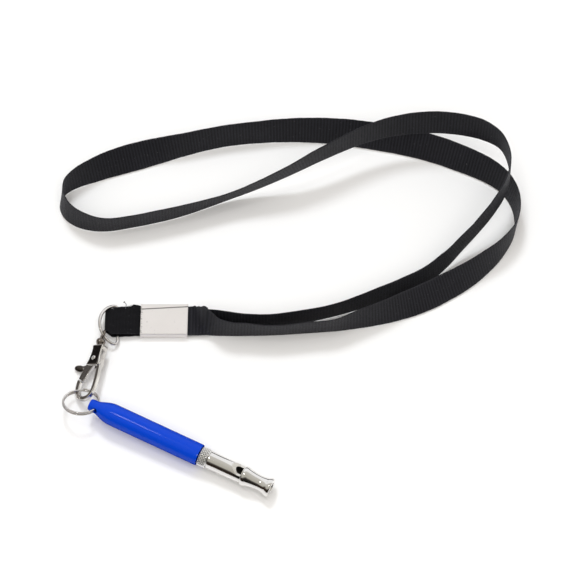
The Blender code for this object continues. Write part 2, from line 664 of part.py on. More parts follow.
add_part(collar("barrel_bush", BUSH_R, BUSH_Z0, BUSH_Z1, chamfer=0.1, steps=32),
         whistle_frame, colour=(0.70, 0.50, 0.20), roughness=0.3, metallic=1.0)
add_part(collar("lock_nut", NUT_R, NUT_Z0, NUT_Z1, chamfer=0.3, steps=40),
         whistle_frame, colour=(0.76, 0.75, 0.73), roughness=0.22, metallic=1.0)

# ------------------------------------------------------------------ the plunger
rod = turned("plunger_rod", [
    (0.0, 59.25), (0.75, 59.25), (0.95, 59.1), (0.95, 58.7), (0.62, 58.6),
    (0.62, 55.0), (ROD_R, 54.9), (ROD_R, 6.8), (0.9, 6.6), (0.0, 6.6)],
    steps=20, origin_z=HOLE_Z)
add_part(rod, whistle_frame, **PLUNGER_BRASS)

groove_mid = (PISTON_Z0 + PISTON_Z1) / 2
groove_low = groove_mid - GROOVE_WIDTH / 2
groove_high = groove_mid + GROOVE_WIDTH / 2
piston = turned("plunger_piston", [
    (PISTON_BORE, PISTON_Z1), (PISTON_R - 0.1, PISTON_Z1),
    (PISTON_R, PISTON_Z1 - 0.1), (PISTON_R, groove_high),
    (GROOVE_R, groove_high), (GROOVE_R, groove_low), (PISTON_R, groove_low),
    (PISTON_R, PISTON_Z0 + 0.1), (PISTON_R - 0.1, PISTON_Z0),
    (PISTON_BORE, PISTON_Z0)], steps=24, origin_z=HOLE_Z, closed=True)
add_part(piston, whistle_frame, **PLUNGER_BRASS)

seal = torus("piston_o_ring", SEAL_R, SEAL_SECTION_R, major_segments=24)
seal.data.transform(Matrix.Translation((0, 0, (groove_mid - HOLE_Z) * MM)))
seal.data.shade_smooth()
seal.data.set_sharp_from_angle(angle=math.radians(60))
add_part(seal, whistle_frame, colour=(0.02, 0.02, 0.02), roughness=0.6)

# ---------------------------------------------------------------- the head tube
tube = turned("head_tube", [
    (TUBE_BORE, TUBE_END), (3.3, TUBE_END), (3.4, TUBE_END - 0.1),
    (3.4, 66.65), (TUBE_R - 0.05, 66.5), (TUBE_R, 62.5), (TUBE_R + 0.1, 53.0),
    (TUBE_R + 0.1, TUBE_SHOULDER + 0.15), (TUBE_R - 0.05, TUBE_SHOULDER),
    (TUBE_REAR_R, TUBE_SHOULDER), (TUBE_REAR_R, TUBE_Z0 + 0.2),
    (TUBE_REAR_R - 0.2, TUBE_Z0), (TUBE_BORE, TUBE_Z0)],
    steps=40, origin_z=HOLE_Z, closed=True)
add_part(tube, whistle_frame, colour=(0.78, 0.77, 0.76), roughness=0.12, metallic=1.0)

window_facing = math.radians(WINDOW_TILT)
# (distance out from the axis, z)
WINDOW_SIDE = [(1.55, 64.6), (1.55, 66.5), (6.0, 66.5), (6.0, 60.0), (3.75, 61.2)]


def window_wedge():
    """Wedge that leaves a sloping lip and a square wall at the mouth end."""
    bm = bmesh.new()
    side = [bm.verts.new((out * MM, -WINDOW_HALF * MM, (z - HOLE_Z) * MM))
            for out, z in WINDOW_SIDE]
    face = bm.faces.new(side)
    extruded = bmesh.ops.extrude_face_region(bm, geom=[face])["geom"]
    moved = [item for item in extruded if isinstance(item, bmesh.types.BMVert)]
    bmesh.ops.translate(bm, verts=moved, vec=(0.0, 2 * WINDOW_HALF * MM, 0.0))
    bmesh.ops.recalc_face_normals(bm, faces=bm.faces)
    bmesh.ops.transform(bm, verts=bm.verts,
                        matrix=Matrix.Rotation(window_facing, 4, "Z"))
    return from_bmesh("window_cut", bm)


combine(tube, add_cutter(window_wedge(), whistle_frame), "DIFFERENCE")

# ----------------------------------------------------------- mouthpiece and plug
# (z, outside radius): rim, waist, flared lip
MOUTH_STATIONS = [
    (66.8, 3.55), (67.1, 3.85), (68.3, 3.9), (69.4, 3.55), (71.0, 3.2),
    (73.0, 2.98), (74.6, 2.95), (76.2, 3.25), (77.5, 3.75), (78.3, 3.92),
    (78.8, 3.88), (79.0, 3.7)]


def mouth_profile():
    station_z, station_radius = zip(*MOUTH_STATIONS)
    profile = [(MOUTH_BORE, MOUTH_Z1)]
    for k in range(MOUTH_STEPS, -1, -1):
        z = MOUTH_Z0 + (MOUTH_Z1 - MOUTH_Z0) * k / MOUTH_STEPS
        profile.append((float(np.interp(z, station_z, station_radius)), z))
    return profile + [(SOCKET_R, MOUTH_Z0), (SOCKET_R, SOCKET_END),
                      (MOUTH_BORE, SOCKET_END)]


mouth = turned("mouthpiece", mouth_profile(), steps=36, origin_z=HOLE_Z, closed=True)
add_part(mouth, whistle_frame, colour=(0.80, 0.79, 0.78), roughness=0.1, metallic=1.0)

plug = turned("windway_plug", [
    (0.0, 78.4), (1.9, 78.4), (2.05, 78.25), (2.05, 69.1), (2.05, 68.9),
    (2.42, 68.6), (2.42, 66.6), (0.0, 66.6)], steps=32, origin_z=HOLE_Z)
add_part(plug, whistle_frame, colour=(0.05, 0.05, 0.06), roughness=0.5)
windway = block("windway_cut", (1.15, -5.0, 60.0 - HOLE_Z), (6.0, 5.0, 85.0 - HOLE_Z))
add_cutter(windway, whistle_frame)
windway.rotation_euler = (0.0, 0.0, window_facing)
combine(plug, windway, "DIFFERENCE")

# ------------------------------------------------------- the lower split ring
# Its plane holds the cross-hole's axis and its centre lies beyond the tail.
# Its origin is where it crosses the clasp's hook.
split_frame = frame("split_ring_axis", KNOB + ACROSS * HANG_ACROSS + aim * HANG_DOWN,
                    ACROSS, aim)


def split_path():
    """Helix of the ring's wire, in the split ring's own frame."""
    hole_axis = (whistle_frame.matrix_world.to_3x3() @ hole_run).normalized()
    towards = Vector(SPLIT_TOWARDS)
    towards = (towards - hole_axis * towards.dot(hole_axis)).normalized()
    centre = HOLE + towards * SPLIT_R
    normal = towards.cross(hole_axis)
    ring_x = -towards
    ring_y = normal.cross(ring_x)
    to_local = split_frame.matrix_world.inverted()
    points = []
    for k in range(int(SPLIT_TURNS * SPLIT_STEPS) + 1):
        turns = k / SPLIT_STEPS
        angle = math.radians(SPLIT_START) + 2.0 * math.pi * turns
        rise = (turns - SPLIT_TURNS / 2) * SPLIT_PITCH
        point = (centre + normal * rise
                 + (ring_x * math.cos(angle) + ring_y * math.sin(angle)) * SPLIT_R)
        points.append(tuple((to_local @ (point * MM)) / MM))
    return points


split_ring = wire("split_ring", split_path(), SPLIT_WIRE_R)
add_part(split_ring, split_frame, colour=(0.80, 0.79, 0.78), roughness=0.14,
         metallic=1.0)

bpy.context.view_layer.update()
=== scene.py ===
import math
import random

import bmesh
import bpy
import numpy as np
from mathutils import Matrix, Vector, noise
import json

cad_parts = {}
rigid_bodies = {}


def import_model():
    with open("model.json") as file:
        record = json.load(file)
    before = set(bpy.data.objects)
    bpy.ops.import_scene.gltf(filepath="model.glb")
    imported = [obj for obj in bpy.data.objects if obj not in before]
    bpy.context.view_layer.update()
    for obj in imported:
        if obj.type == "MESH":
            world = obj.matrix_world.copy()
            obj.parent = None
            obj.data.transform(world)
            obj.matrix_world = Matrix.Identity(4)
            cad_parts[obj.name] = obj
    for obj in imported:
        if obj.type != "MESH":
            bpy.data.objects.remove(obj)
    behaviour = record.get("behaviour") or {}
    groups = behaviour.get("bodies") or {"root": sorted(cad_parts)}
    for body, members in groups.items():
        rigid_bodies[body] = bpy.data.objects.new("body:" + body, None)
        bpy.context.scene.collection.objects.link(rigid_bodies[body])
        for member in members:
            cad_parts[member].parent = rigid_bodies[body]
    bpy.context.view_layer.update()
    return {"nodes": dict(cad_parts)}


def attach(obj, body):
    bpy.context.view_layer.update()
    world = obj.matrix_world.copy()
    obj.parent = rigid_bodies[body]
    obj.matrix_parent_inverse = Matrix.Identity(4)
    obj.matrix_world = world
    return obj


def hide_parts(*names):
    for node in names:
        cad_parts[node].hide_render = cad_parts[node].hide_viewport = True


for stray in list(bpy.data.objects):
    bpy.data.objects.remove(stray, do_unlink=True)

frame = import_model()
MM = 0.001
RNG = random.Random(11)

# ------------------------------------------------------------------ dimensions
RIBBON_W, RIB_PITCH = 12.7, 1.3
CRIMP_X0, CRIMP_LENGTH, CRIMP_Y = -60.0, 19.0, -6.5  # left end, length, middle line
CRIMP_H, CRIMP_D, CRIMP_SHEET = 3.3, 14.0, 0.4  # height, size in y, sheet thickness
SEAM_Y, SEAM_SLANT = 4.5, 1.1  # seam's y from the middle line, and its drift over the length
LAYER_LOW, LAYER_HIGH = 1.35, 1.95  # heights of the two ribbon ends in the crimp
TAB_LOW, TAB_HIGH = 0.75, 2.55
TAB_PINCH_NEAR = 0.5

DRING_BAR = (-69.0, -8.85, 1.5)  # middle of the straight bar
DRING_WIRE, DRING_HALF_BAR, DRING_CORNER, DRING_DEPTH = 0.62, 6.6, 1.9, 8.3
DRING_TILT, DRING_EYE_ALONG = 30.0, 5.4

CLASP_AIM, CLASP_ROLL, EYE_TO_KNOB = (-0.235, -0.966, -0.031), 34.3, 2.7
PIN_ACROSS, PIN_DOWN = 0.6, 8.4

SPLIT_R, SPLIT_WIRE, SPLIT_PITCH = 7.05, 0.40, 0.88
SPLIT_TURNS, SPLIT_START = 1.93, 136.4
SPLIT_TOWARDS = (-0.917, 0.388, -0.090)  # from the whistle's hole to the ring's centre

# Whistle stations (Z0, Z1, END, SHOULDER) run along its axis from the tail.
WHISTLE_TAIL, WHISTLE_AIM = (-78.2, -45.9, 7.06), (71.1, -34.2, -2.96)
HOLE_Z, HOLE_R, HOLE_TILT = 3.25, 1.2, 25.2
BARREL_END, BARREL_R, BARREL_BORE = 48.2, 4.3, 3.75
NUT_Z0, NUT_Z1, NUT_R = 48.45, 52.0, 3.85
TUBE_Z0, TUBE_SHOULDER, TUBE_END = 38.0, 52.25, 68.8
TUBE_R, TUBE_REAR_R, TUBE_BORE = 3.5, 3.1, 2.6
MOUTH_Z0, MOUTH_Z1, WINDOW_TILT = 66.8, 79.0, -20.0


# ------------------------------------------------------------- frames and axes
def axes(origin, x_axis, z_axis):
    """Frame at origin (mm) with the given z axis and x as near as it can be."""
    z = Vector(z_axis).normalized()
    x = Vector(x_axis)
    x = (x - z * x.dot(z)).normalized()
    turn = Matrix((x, z.cross(x), z)).transposed().to_4x4()
    return Matrix.Translation(Vector(origin) * MM) @ turn


tilt = math.radians(DRING_TILT)
OUTWARD = Vector((-math.cos(tilt), 0.0, math.sin(tilt)))
ALONG = Vector((0.0, -1.0, 0.0))
DRING_FRAME = axes(DRING_BAR, OUTWARD, OUTWARD.cross(ALONG))
# the bow is one arc, tangent to both rounded corners
BOW_CENTRE = (((DRING_DEPTH - DRING_CORNER) ** 2 - DRING_HALF_BAR ** 2 - DRING_CORNER ** 2)
              / (2.0 * ((DRING_DEPTH - DRING_CORNER) - DRING_CORNER)))
BOW_R = DRING_DEPTH - BOW_CENTRE
CORNER_END = math.atan2(DRING_CORNER - BOW_CENTRE, DRING_HALF_BAR)

# the eye hangs on the bow; the clasp continues from it along its aim
aim = Vector(CLASP_AIM).normalized()
bow_rise = math.sqrt(BOW_R ** 2 - DRING_EYE_ALONG ** 2)
EYE = (Vector(DRING_BAR) + OUTWARD * (BOW_CENTRE + bow_rise) + ALONG * DRING_EYE_ALONG
       + aim * 0.25)
level = Vector((-aim.y, aim.x, 0.0)).normalized()
if level.x < 0:
    level = -level
upright = level.cross(aim)
if upright.z < 0:
    upright = -upright
roll = math.radians(CLASP_ROLL)
ACROSS = level * math.cos(roll) + upright * math.sin(roll)
eye_wire = (ALONG - OUTWARD * DRING_EYE_ALONG / bow_rise).normalized()
EYE_FRAME = axes(EYE, eye_wire.cross(aim), aim)
KNOB = EYE + aim * EYE_TO_KNOB
CLASP_FRAME = axes(KNOB, ACROSS, aim)
TRIGGER_FRAME = axes(KNOB + ACROSS * PIN_ACROSS + aim * PIN_DOWN, ACROSS, aim)

# the whistle's frame has its origin in the cross hole, with z towards the mouth
whistle_axis = Vector(WHISTLE_AIM).normalized()
HOLE = Vector(WHISTLE_TAIL) + whistle_axis * HOLE_Z
WHISTLE_FRAME = axes(HOLE, (0.0, 0.0, 1.0), whistle_axis)
FACING = math.radians(WINDOW_TILT)
HOLE_DIR = Vector((math.sin(math.radians(HOLE_TILT)), math.cos(math.radians(HOLE_TILT)), 0.0))


# ----------------------------------------------------------- curves and points
def clamped(value):
    return min(1.0, max(0.0, value))


def lumps(x, y, z):
    return noise.noise(Vector((x, y, z)))


def eased(points, radius, closed=False):
    """Polyline of (x, y) pairs with corners over 20 degrees rounded in 4 steps."""
    out, count = [], len(points)
    for i in range(count):
        corner = Vector(points[i])
        if not closed and i in (0, count - 1):
            out.append(tuple(corner))
            continue
        back, ahead = Vector(points[i - 1]) - corner, Vector(points[(i + 1) % count]) - corner
        if back.length < 1e-6 or ahead.length < 1e-6:
            continue
        if math.degrees((-back).angle(ahead)) < 20.0:
            out.append(tuple(corner))
            continue
        reach = min(radius, 0.45 * back.length, 0.45 * ahead.length)
        start = corner + back.normalized() * reach
        end = corner + ahead.normalized() * reach
        for k in range(5):
            share = k / 4
            out.append(tuple(start * (1 - share) ** 2 + corner * (2 * share * (1 - share))
                             + end * share ** 2))
    return out


def spline(points, per, closed=False):
    """Catmull-Rom curve through the points, with per steps to a span."""
    count = len(points)
    out = []
    for i in range(count if closed else count - 1):
        near = [points[(i + k) % count if closed else min(max(i + k, 0), count - 1)]
                for k in (-1, 0, 1, 2)]
        for j in range(per):
            t = j / per
            out.append(tuple(
                0.5 * (2 * start + (end - before) * t
                       + (2 * before - 5 * start + 4 * end - after) * t * t
                       + (3 * start - before - 3 * end + after) * t ** 3)
                for before, start, end, after in zip(*near)))
    if not closed:
        out.append(tuple(float(value) for value in points[-1]))
    return out


# --------------------------------------------------------------- mesh helpers
def linked(name, mesh):
    obj = bpy.data.objects.new(name, mesh)
    bpy.context.scene.collection.objects.link(obj)
    return obj


def new_object(name, verts, faces, uvs=None):
    """Mesh object in metres; uvs holds one pair for each vertex."""
    mesh = bpy.data.meshes.new(name)
    mesh.from_pydata(verts, [], faces)
    if uvs is not None:
        layer = mesh.uv_layers.new(name="UVMap")
        corners = np.zeros(len(mesh.loops), np.int32)
        mesh.loops.foreach_get("vertex_index", corners)
        layer.data.foreach_set("uv", np.asarray(uvs, float)[corners].ravel())
    mesh.update()
    return linked(name, mesh)


def from_bmesh(name, solid):
    mesh = bpy.data.meshes.new(name)
    solid.to_mesh(mesh)
    solid.free()
    return linked(name, mesh)


def tidy(obj, weld=True):
    """Turns the faces outwards, after welding doubles if asked."""
    solid = bmesh.new()
    solid.from_mesh(obj.data)
    if weld:
        bmesh.ops.remove_doubles(solid, verts=solid.verts, dist=0.0000005)
        bmesh.ops.dissolve_degenerate(solid, edges=solid.edges, dist=0.0000001)
    bmesh.ops.recalc_face_normals(solid, faces=solid.faces)
    solid.to_mesh(obj.data)
    solid.free()
    obj.data.update()
    return obj


def settle(obj):
    """The object with its modifiers applied, as a mesh of the same name."""
    bpy.context.view_layer.update()
    graph = bpy.context.evaluated_depsgraph_get()
    mesh = bpy.data.meshes.new_from_object(obj.evaluated_get(graph))
    name, matrix = obj.name, obj.matrix_world.copy()
    bpy.data.objects.remove(obj, do_unlink=True)
    mesh.name = name
    new = bpy.data.objects.new(name, mesh)
    new.matrix_world = matrix
    bpy.context.scene.collection.objects.link(new)
    return new


def join_by(obj, other, operation):
    mod = obj.modifiers.new("cut", "BOOLEAN")
    mod.operation = operation
    mod.object = other
    mod.solver = "EXACT"
    out = settle(obj)
    bpy.data.objects.remove(other, do_unlink=True)
    return tidy(out)


def cut(obj, *cutters):
    for cutter in cutters:
        obj = join_by(obj, cutter, "DIFFERENCE")
    return obj


def bevelled(obj, width, segments=4, angle=60.0):
    mod = obj.modifiers.new("edge", "BEVEL")
    mod.width = width * MM
    mod.segments = segments
    mod.limit_method = "ANGLE"
    mod.angle_limit = math.radians(angle)
    return settle(obj)


def cast(obj, voxel, passes):
    """Remeshes a joined solid finely and relaxes it, which rounds every edge
    and fills every inner corner the way a casting does."""
    skin = obj.modifiers.new("skin", "REMESH")
    skin.mode = "VOXEL"
    skin.voxel_size = voxel * MM
    skin.adaptivity = 0.0
    soft = obj.modifiers.new("soft", "SMOOTH")
    soft.factor = 0.5
    soft.iterations = passes
    out = settle(obj)
    out.data.shade_smooth()
    return out


def smooth(obj, degrees):
    obj.data.shade_smooth()
    obj.data.set_sharp_from_angle(angle=math.radians(degrees))
    return obj


def place(obj, matrix):
    obj.data.transform(matrix)
    obj.data.update()
    return obj


def on_circle(radius, angle, z):
    return (radius * math.cos(angle) * MM, radius * math.sin(angle) * MM, z * MM)


def ring_quads(low, high, count):
    """Quads between two closed rings whose first vertices are low and high."""
    return [(low + k, low + (k + 1) % count, high + (k + 1) % count, high + k)
            for k in range(count)]


def lathe(name, profile, steps=128, closed=False, z0=0.0):
    """Turned mesh from (radius, z) points; a point on the axis makes a pole."""
    verts, faces, rings = [], [], []
    for radius, z in profile:
        pole = radius < 1e-4
        rings.append((len(verts), pole))
        if pole:
            verts.append((0.0, 0.0, (z - z0) * MM))
        else:
            verts += [on_circle(radius, 2.0 * math.pi * k / steps, z - z0)
                      for k in range(steps)]
    pairs = list(zip(rings, rings[1:]))
    if closed:
        pairs.append((rings[-1], rings[0]))
    for (low, low_pole), (high, high_pole) in pairs:
        if low_pole and high_pole:
            continue
        if low_pole:
            faces += [(low, high + (k + 1) % steps, high + k) for k in range(steps)]
        elif high_pole:
            faces += [(low + k, low + (k + 1) % steps, high) for k in range(steps)]
        else:
            faces += ring_quads(low, high, steps)
    return tidy(new_object(name, verts, faces))


def tube_along(name, points, radius, cyclic=False, sides=16):
    """Round wire along points (mm); radius is a number or a function of the row."""
    count = len(points)
    points = [Vector(point) for point in points]
    tangents = []
    for i in range(count):
        before = points[i - 1] if (cyclic or i > 0) else points[i]
        after = points[(i + 1) % count] if (cyclic or i < count - 1) else points[i]
        tangents.append((after - before).normalized())
    up = tangents[0].orthogonal().normalized()
    frames = []
    for tangent in tangents:
        up = (up - tangent * up.dot(tangent)).normalized()
        frames.append((up.copy(), tangent.cross(up)))
    twist = 0.0
    if cyclic:
        # what the frame has turned by the end is spread back over the rows
        end = frames[-1][0]
        end = (end - tangents[0] * end.dot(tangents[0])).normalized()
        twist = math.atan2(end.dot(frames[0][1]), end.dot(frames[0][0]))
    radius_at = radius if callable(radius) else (lambda row: radius)
    verts, faces = [], []
    for i in range(count):
        back = -twist * i / count if cyclic else 0.0
        for k in range(sides):
            angle = 2.0 * math.pi * k / sides + back
            offset = frames[i][0] * math.cos(angle) + frames[i][1] * math.sin(angle)
            verts.append(tuple((points[i] + offset * radius_at(i)) * MM))
    for i in range(count if cyclic else count - 1):
        faces += ring_quads(i * sides, (i + 1) % count * sides, sides)
    if not cyclic:
        # shallow domed ends
        for row, direction in ((0, -1), (count - 1, 1)):
            end_radius, tangent = radius_at(row), tangents[row]
            centre = points[row] + tangent * (0.22 * end_radius * direction)
            rim, inner = row * sides, len(verts)
            for k in range(sides):
                verts.append(tuple(Vector(verts[rim + k]).lerp(centre * MM, 0.35)
                                   + tangent * MM * (0.08 * end_radius * direction)))
            tip = len(verts)
            verts.append(tuple(centre * MM))
            for k in range(sides):
                m = (k + 1) % sides
                faces.append((rim + k, rim + m, inner + m, inner + k))
                faces.append((inner + k, inner + m, tip))
    return smooth(tidy(new_object(name, verts, faces), weld=False), 50)


def closed_strip(name, rows, uvs=None):
    """Strip whose cross-section is a closed loop; rows is a list of loops (mm)."""
    loop = len(rows[0])
    verts = [tuple(value * MM for value in point) for row in rows for point in row]
    faces = []
    for i in range(len(rows) - 1):
        low, high = i * loop, (i + 1) * loop
        for k in range(loop):
            m = (k + 1) % loop
            faces.append((low + k, high + k, high + m, low + m))
    for base, flip in ((0, False), ((len(rows) - 1) * loop, True)):
        for k in range(loop // 2 - 1):
            quad = (base + k, base + k + 1, base + loop - 2 - k, base + loop - 1 - k)
            faces.append(quad[::-1] if flip else quad)
    return tidy(new_object(name, verts, faces, uvs), weld=False)


def plate(name, outline, half):
    """Flat outline of (x, z) points, half thickness each way in y."""
    count = len(outline)
    verts = [(x * MM, y * MM, z * MM) for y in (-half, half) for x, z in outline]
    faces = [tuple(range(count)), tuple(range(2 * count - 1, count - 1, -1))]
    for i in range(count):
        j = (i + 1) % count
        faces.append((i, count + i, count + j, j))
    return tidy(new_object(name, verts, faces), weld=False)


def rod_between(name, radius, start, end, segments=40):
    start, end = Vector(start) * MM, Vector(end) * MM
    solid = bmesh.new()
    bmesh.ops.create_cone(solid, cap_ends=True, segments=segments, radius1=radius * MM,
                          radius2=radius * MM, depth=(end - start).length)
    turn = Vector((0, 0, 1)).rotation_difference(end - start).to_matrix().to_4x4()
    bmesh.ops.transform(solid, verts=solid.verts,
                        matrix=Matrix.Translation((start + end) / 2) @ turn)
    return from_bmesh(name, solid)


def box_between(name, low, high):
    solid = bmesh.new()
    bmesh.ops.create_cube(solid, size=1.0)
    size = [(top - bottom) * MM for bottom, top in zip(low, high)]
    middle = [(top + bottom) / 2 * MM for bottom, top in zip(low, high)]
    bmesh.ops.transform(solid, verts=solid.verts, matrix=Matrix.Translation(middle)
                        @ Matrix.Diagonal((*size, 1.0)))
    return from_bmesh(name, solid)


def piece(obj, name, body, material, cad=None):
    """Names a finished piece, gives it its material and attaches it to its body; cad is the
    CAD node it replaces, which is hidden."""
    obj.name = name
    obj.data.name = name
    obj.data.materials.clear()
    obj.data.materials.append(material)
    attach(obj, body)
    if cad:
        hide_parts(cad)
    return obj


def paint(obj, local_frame, materials, pick):
    """Adds materials; pick gives a slot number for a face's centre (mm, local frame)."""
    for material in materials:
        obj.data.materials.append(material)
    to_local = local_frame.inverted()
    for face in obj.data.polygons:
        slot = pick(to_local @ face.center / MM)
        if slot:
            face.material_index = slot


# ------------------------------------------------------------------ materials
class Nodes:
    """Short way to write a node tree."""

    def __init__(self, tree):
        self.tree = tree

    def feed(self, target, value):
        """Links a socket or sets a value; a colour of three numbers gets its alpha."""
        if hasattr(value, "is_output"):
            self.tree.links.new(value, target)
        elif isinstance(value, tuple):
            target.default_value = (*value, 1.0)[:len(target.default_value)]
        else:
            target.default_value = value

    def node(self, kind, ins=None, **props):
        made = self.tree.nodes.new(kind)
        for key, value in props.items():
            setattr(made, key, value)
        for key, value in (ins or {}).items():
            self.feed(made.inputs[key], value)
        return made

    def math(self, operation, first, *rest):
        values = enumerate((first, *(rest or (0.0,))))
        return self.node("ShaderNodeMath", dict(values), operation=operation).outputs[0]

    def times(self, first, second):
        return self.math("MULTIPLY", first, second)

    def times_add(self, first, second, added):
        return self.math("MULTIPLY_ADD", first, second, added)

    def span(self, value, over, to=(0.0, 1.0)):
        """Smooth step from one range to another."""
        return self.node("ShaderNodeMapRange", {
            "Value": value, "From Min": over[0], "From Max": over[1],
            "To Min": to[0], "To Max": to[1]}, interpolation_type="SMOOTHSTEP").outputs[0]

    def blend(self, share, first, second):
        return self.node("ShaderNodeMix", {0: share, 6: first, 7: second},
                         data_type="RGBA").outputs[2]

    def parts(self, vector):
        return self.node("ShaderNodeSeparateXYZ", {0: vector}).outputs


class Look(Nodes):
    """A material built round its Principled shader."""

    def __init__(self, name):
        self.mat = bpy.data.materials.new(name)
        self.mat.use_nodes = True
        super().__init__(self.mat.node_tree)
        self.bsdf = self.tree.nodes["Principled BSDF"]
        self.coord = self.node("ShaderNodeTexCoord").outputs

    def put(self, values):
        for socket, value in values.items():
            self.feed(self.bsdf.inputs[socket], value)

    def colour(self):
        return self.bsdf.inputs["Base Color"].links[0].from_socket

    def noise(self, scale, detail=2.0, rough=0.5, stretch=None):
        vector = self.coord["Object"]
        if stretch:
            vector = self.node("ShaderNodeMapping",
                               {"Vector": vector, "Scale": stretch}).outputs[0]
        return self.node("ShaderNodeTexNoise", {
            "Vector": vector, "Scale": scale, "Detail": detail,
            "Roughness": rough}).outputs["Fac"]

    def sine(self, distance, pitch):
        return self.math("SINE", self.times(distance, 2 * math.pi / pitch))

    def pointiness(self):
        return self.node("ShaderNodeNewGeometry").outputs["Pointiness"]

    def facing(self, blend):
        return self.node("ShaderNodeLayerWeight", {"Blend": blend}).outputs["Facing"]

    def bump(self, height, strength, distance, normal=None):
        ins = {"Height": height, "Strength": strength, "Distance": distance}
        if normal is not None:
            ins["Normal"] = normal
        return self.node("ShaderNodeBump", ins).outputs[0]


def ribbon_look(name, light, dark, ribs, gloss):
    """Grosgrain: ribs across the width, fine warp ends, lint and soft wear."""
    look = Look(name)
    along, across, _ = look.parts(look.coord["UV"])
    rib = look.times_add(look.sine(along, pitch=RIB_PITCH), 0.5, 0.5)
    warp = look.sine(across, pitch=0.33)
    pick = look.sine(along, pitch=0.325)
    weave = look.times(warp, pick)
    cloud = look.noise(scale=90.0, detail=3.0)
    fibre = look.noise(scale=2600.0, detail=2.0, rough=0.6)
    # shares of rib, cloud, fibre and weave in the tone between dark and light
    tone = look.times_add(rib, 0.75 * ribs, look.times(cloud, 0.45))
    tone = look.times_add(fibre, 0.30, tone)
    tone = look.times_add(weave, 0.08, tone)
    colour = look.blend(look.span(tone, over=(0.15, 1.15)), dark, light)
    lint = look.span(look.noise(scale=1500.0, detail=1.0, rough=0.4),
                     over=(0.735, 0.80), to=(0.0, 0.35))
    colour = look.blend(lint, colour, (0.16, 0.16, 0.17))
    # the woven edges take a little more wear than the face
    edge = look.math("ABSOLUTE", look.math("SUBTRACT", across, RIBBON_W / 2))
    worn = look.times(look.span(edge, over=(5.5, 6.3), to=(0.0, 0.35)), cloud)
    look.put({
        "Base Color": look.blend(worn, colour, (0.055, 0.055, 0.062)),
        "Roughness": look.span(fibre, over=(0.3, 0.7), to=(0.58, 0.80)),
        "Specular IOR Level": gloss,
        "Sheen Weight": 0.05,
        "Sheen Roughness": 0.45,
        "Sheen Tint": (0.75, 0.78, 0.9)})
    # relief from the weave, the fibres and the ribs
    height = look.times_add(weave, 0.30, look.times(fibre, 0.9))
    height = look.times_add(rib, 0.6 * ribs, height)
    look.put({"Normal": look.bump(height, strength=0.55, distance=0.00006)})
    return look.mat


def metal_look(name, base, rough, tint, grain=0.5, casting=0.0,
               stretch=(1.0, 1.0, 0.12), patina=0.25, rim=0.0, metallic=1.0):
    """Plated metal: cloudy roughness, hairlines, dull spots, painted shade in hollows, and
    raised edges brightened partly by wear and partly as a painted highlight.
    """
    look = Look(name)
    cloud = look.noise(scale=260.0, detail=3.0)
    hair = look.noise(scale=900.0, detail=2.0, rough=0.6, stretch=stretch)
    spot = look.span(look.noise(scale=720.0), over=(0.66, 0.76))
    point = look.pointiness()
    wear = look.span(point, over=(0.52, 0.60))
    hollow_shade = look.span(point, over=(0.49, 0.44))

    def dulled(share):
        return tuple(channel * share for channel in tint)

    # clouds and spots darken towards the tint; hollows darken as painted shade with some
    # tarnish; raised edges are bright, partly from wear and partly as a painted highlight
    colour = look.blend(look.times(cloud, patina), base, tint)
    colour = look.blend(look.times(spot, patina), colour, dulled(0.6))
    colour = look.blend(look.times(hollow_shade, 0.45), colour, dulled(0.35))
    colour = look.blend(look.times(wear, 0.5), colour, (0.93, 0.92, 0.90))
    if rim:
        # painted reflection: the colour goes dark towards the silhouette edges around a
        # bright middle
        painted_dark_edge = look.span(look.facing(blend=0.5), over=(0.30, 0.72), to=(0.0, rim))
        colour = look.blend(painted_dark_edge, colour, (0.11, 0.095, 0.09))
    # hairlines vary the roughness and the spots add to it
    roughness = look.times_add(hair, grain * 0.14, rough - grain * 0.05)
    roughness = look.times_add(spot, 0.10, roughness)
    normal = look.bump(hair, strength=0.05 * grain, distance=0.00002)
    if casting:
        normal = look.bump(look.noise(scale=330.0), strength=casting, distance=0.00012,
                           normal=normal)
    look.put({"Base Color": colour, "Metallic": metallic, "Roughness": roughness,
              "Normal": normal})
    return look


def lacquer_look():
    """Glossy blue lacquer over metal: painted shade towards the silhouette edges and in
    hollows, faint peel.
    """
    look = Look("barrel_lacquer")
    cloud = look.noise(scale=120.0, detail=3.0)
    facing = look.facing(blend=0.35)
    # painted shade: the blue darkens towards the edges that turn away from the view
    deep = look.span(facing, over=(0.30, 0.92))
    colour = look.blend(look.times(cloud, 0.35), (0.0012, 0.058, 0.60), (0.0010, 0.046, 0.50))
    colour = look.blend(look.times(deep, 0.80), colour, (0.002, 0.020, 0.24))
    # painted shade in hollows, and pale chips where an edge stands out
    point = look.pointiness()
    hollow_shade = look.span(point, over=(0.49, 0.42))
    colour = look.blend(look.times(hollow_shade, 0.7), colour, (0.002, 0.006, 0.07))
    chip = look.span(look.noise(scale=620.0), over=(0.71, 0.74))
    edge = look.span(point, over=(0.56, 0.62))
    chipped = look.times(look.times(chip, edge), 0.8)
    look.put({
        "Base Color": look.blend(chipped, colour, (0.35, 0.40, 0.55)),
        "Metallic": 0.0,
        "Roughness": look.span(cloud, over=(0.3, 0.7), to=(0.20, 0.30)),
        "Specular IOR Level": look.span(facing, over=(0.15, 0.6), to=(0.06, 0.0)),
        "Coat Weight": look.span(facing, over=(0.15, 0.6), to=(0.38, 0.06)),
        "Coat IOR": 1.42,
        "Coat Roughness": 0.05,
        "Coat Tint": (0.80, 0.90, 1.0),
        "Normal": look.bump(look.noise(scale=420.0, detail=1.0), strength=0.05,
                            distance=0.00008)})
    return look.mat


# Dark specks on the crimp's top: x, y, radius, strength.
CRIMP_SPECKS = [(-57.36, -7.76, 0.42, 0.40), (-54.22, -11.59, 0.30, 0.25),
                (-54.15, -13.0, 0.28, 0.25), (-55.3, -2.77, 0.22, 0.22),
                (-47.0, -9.2, 0.20, 0.15)]


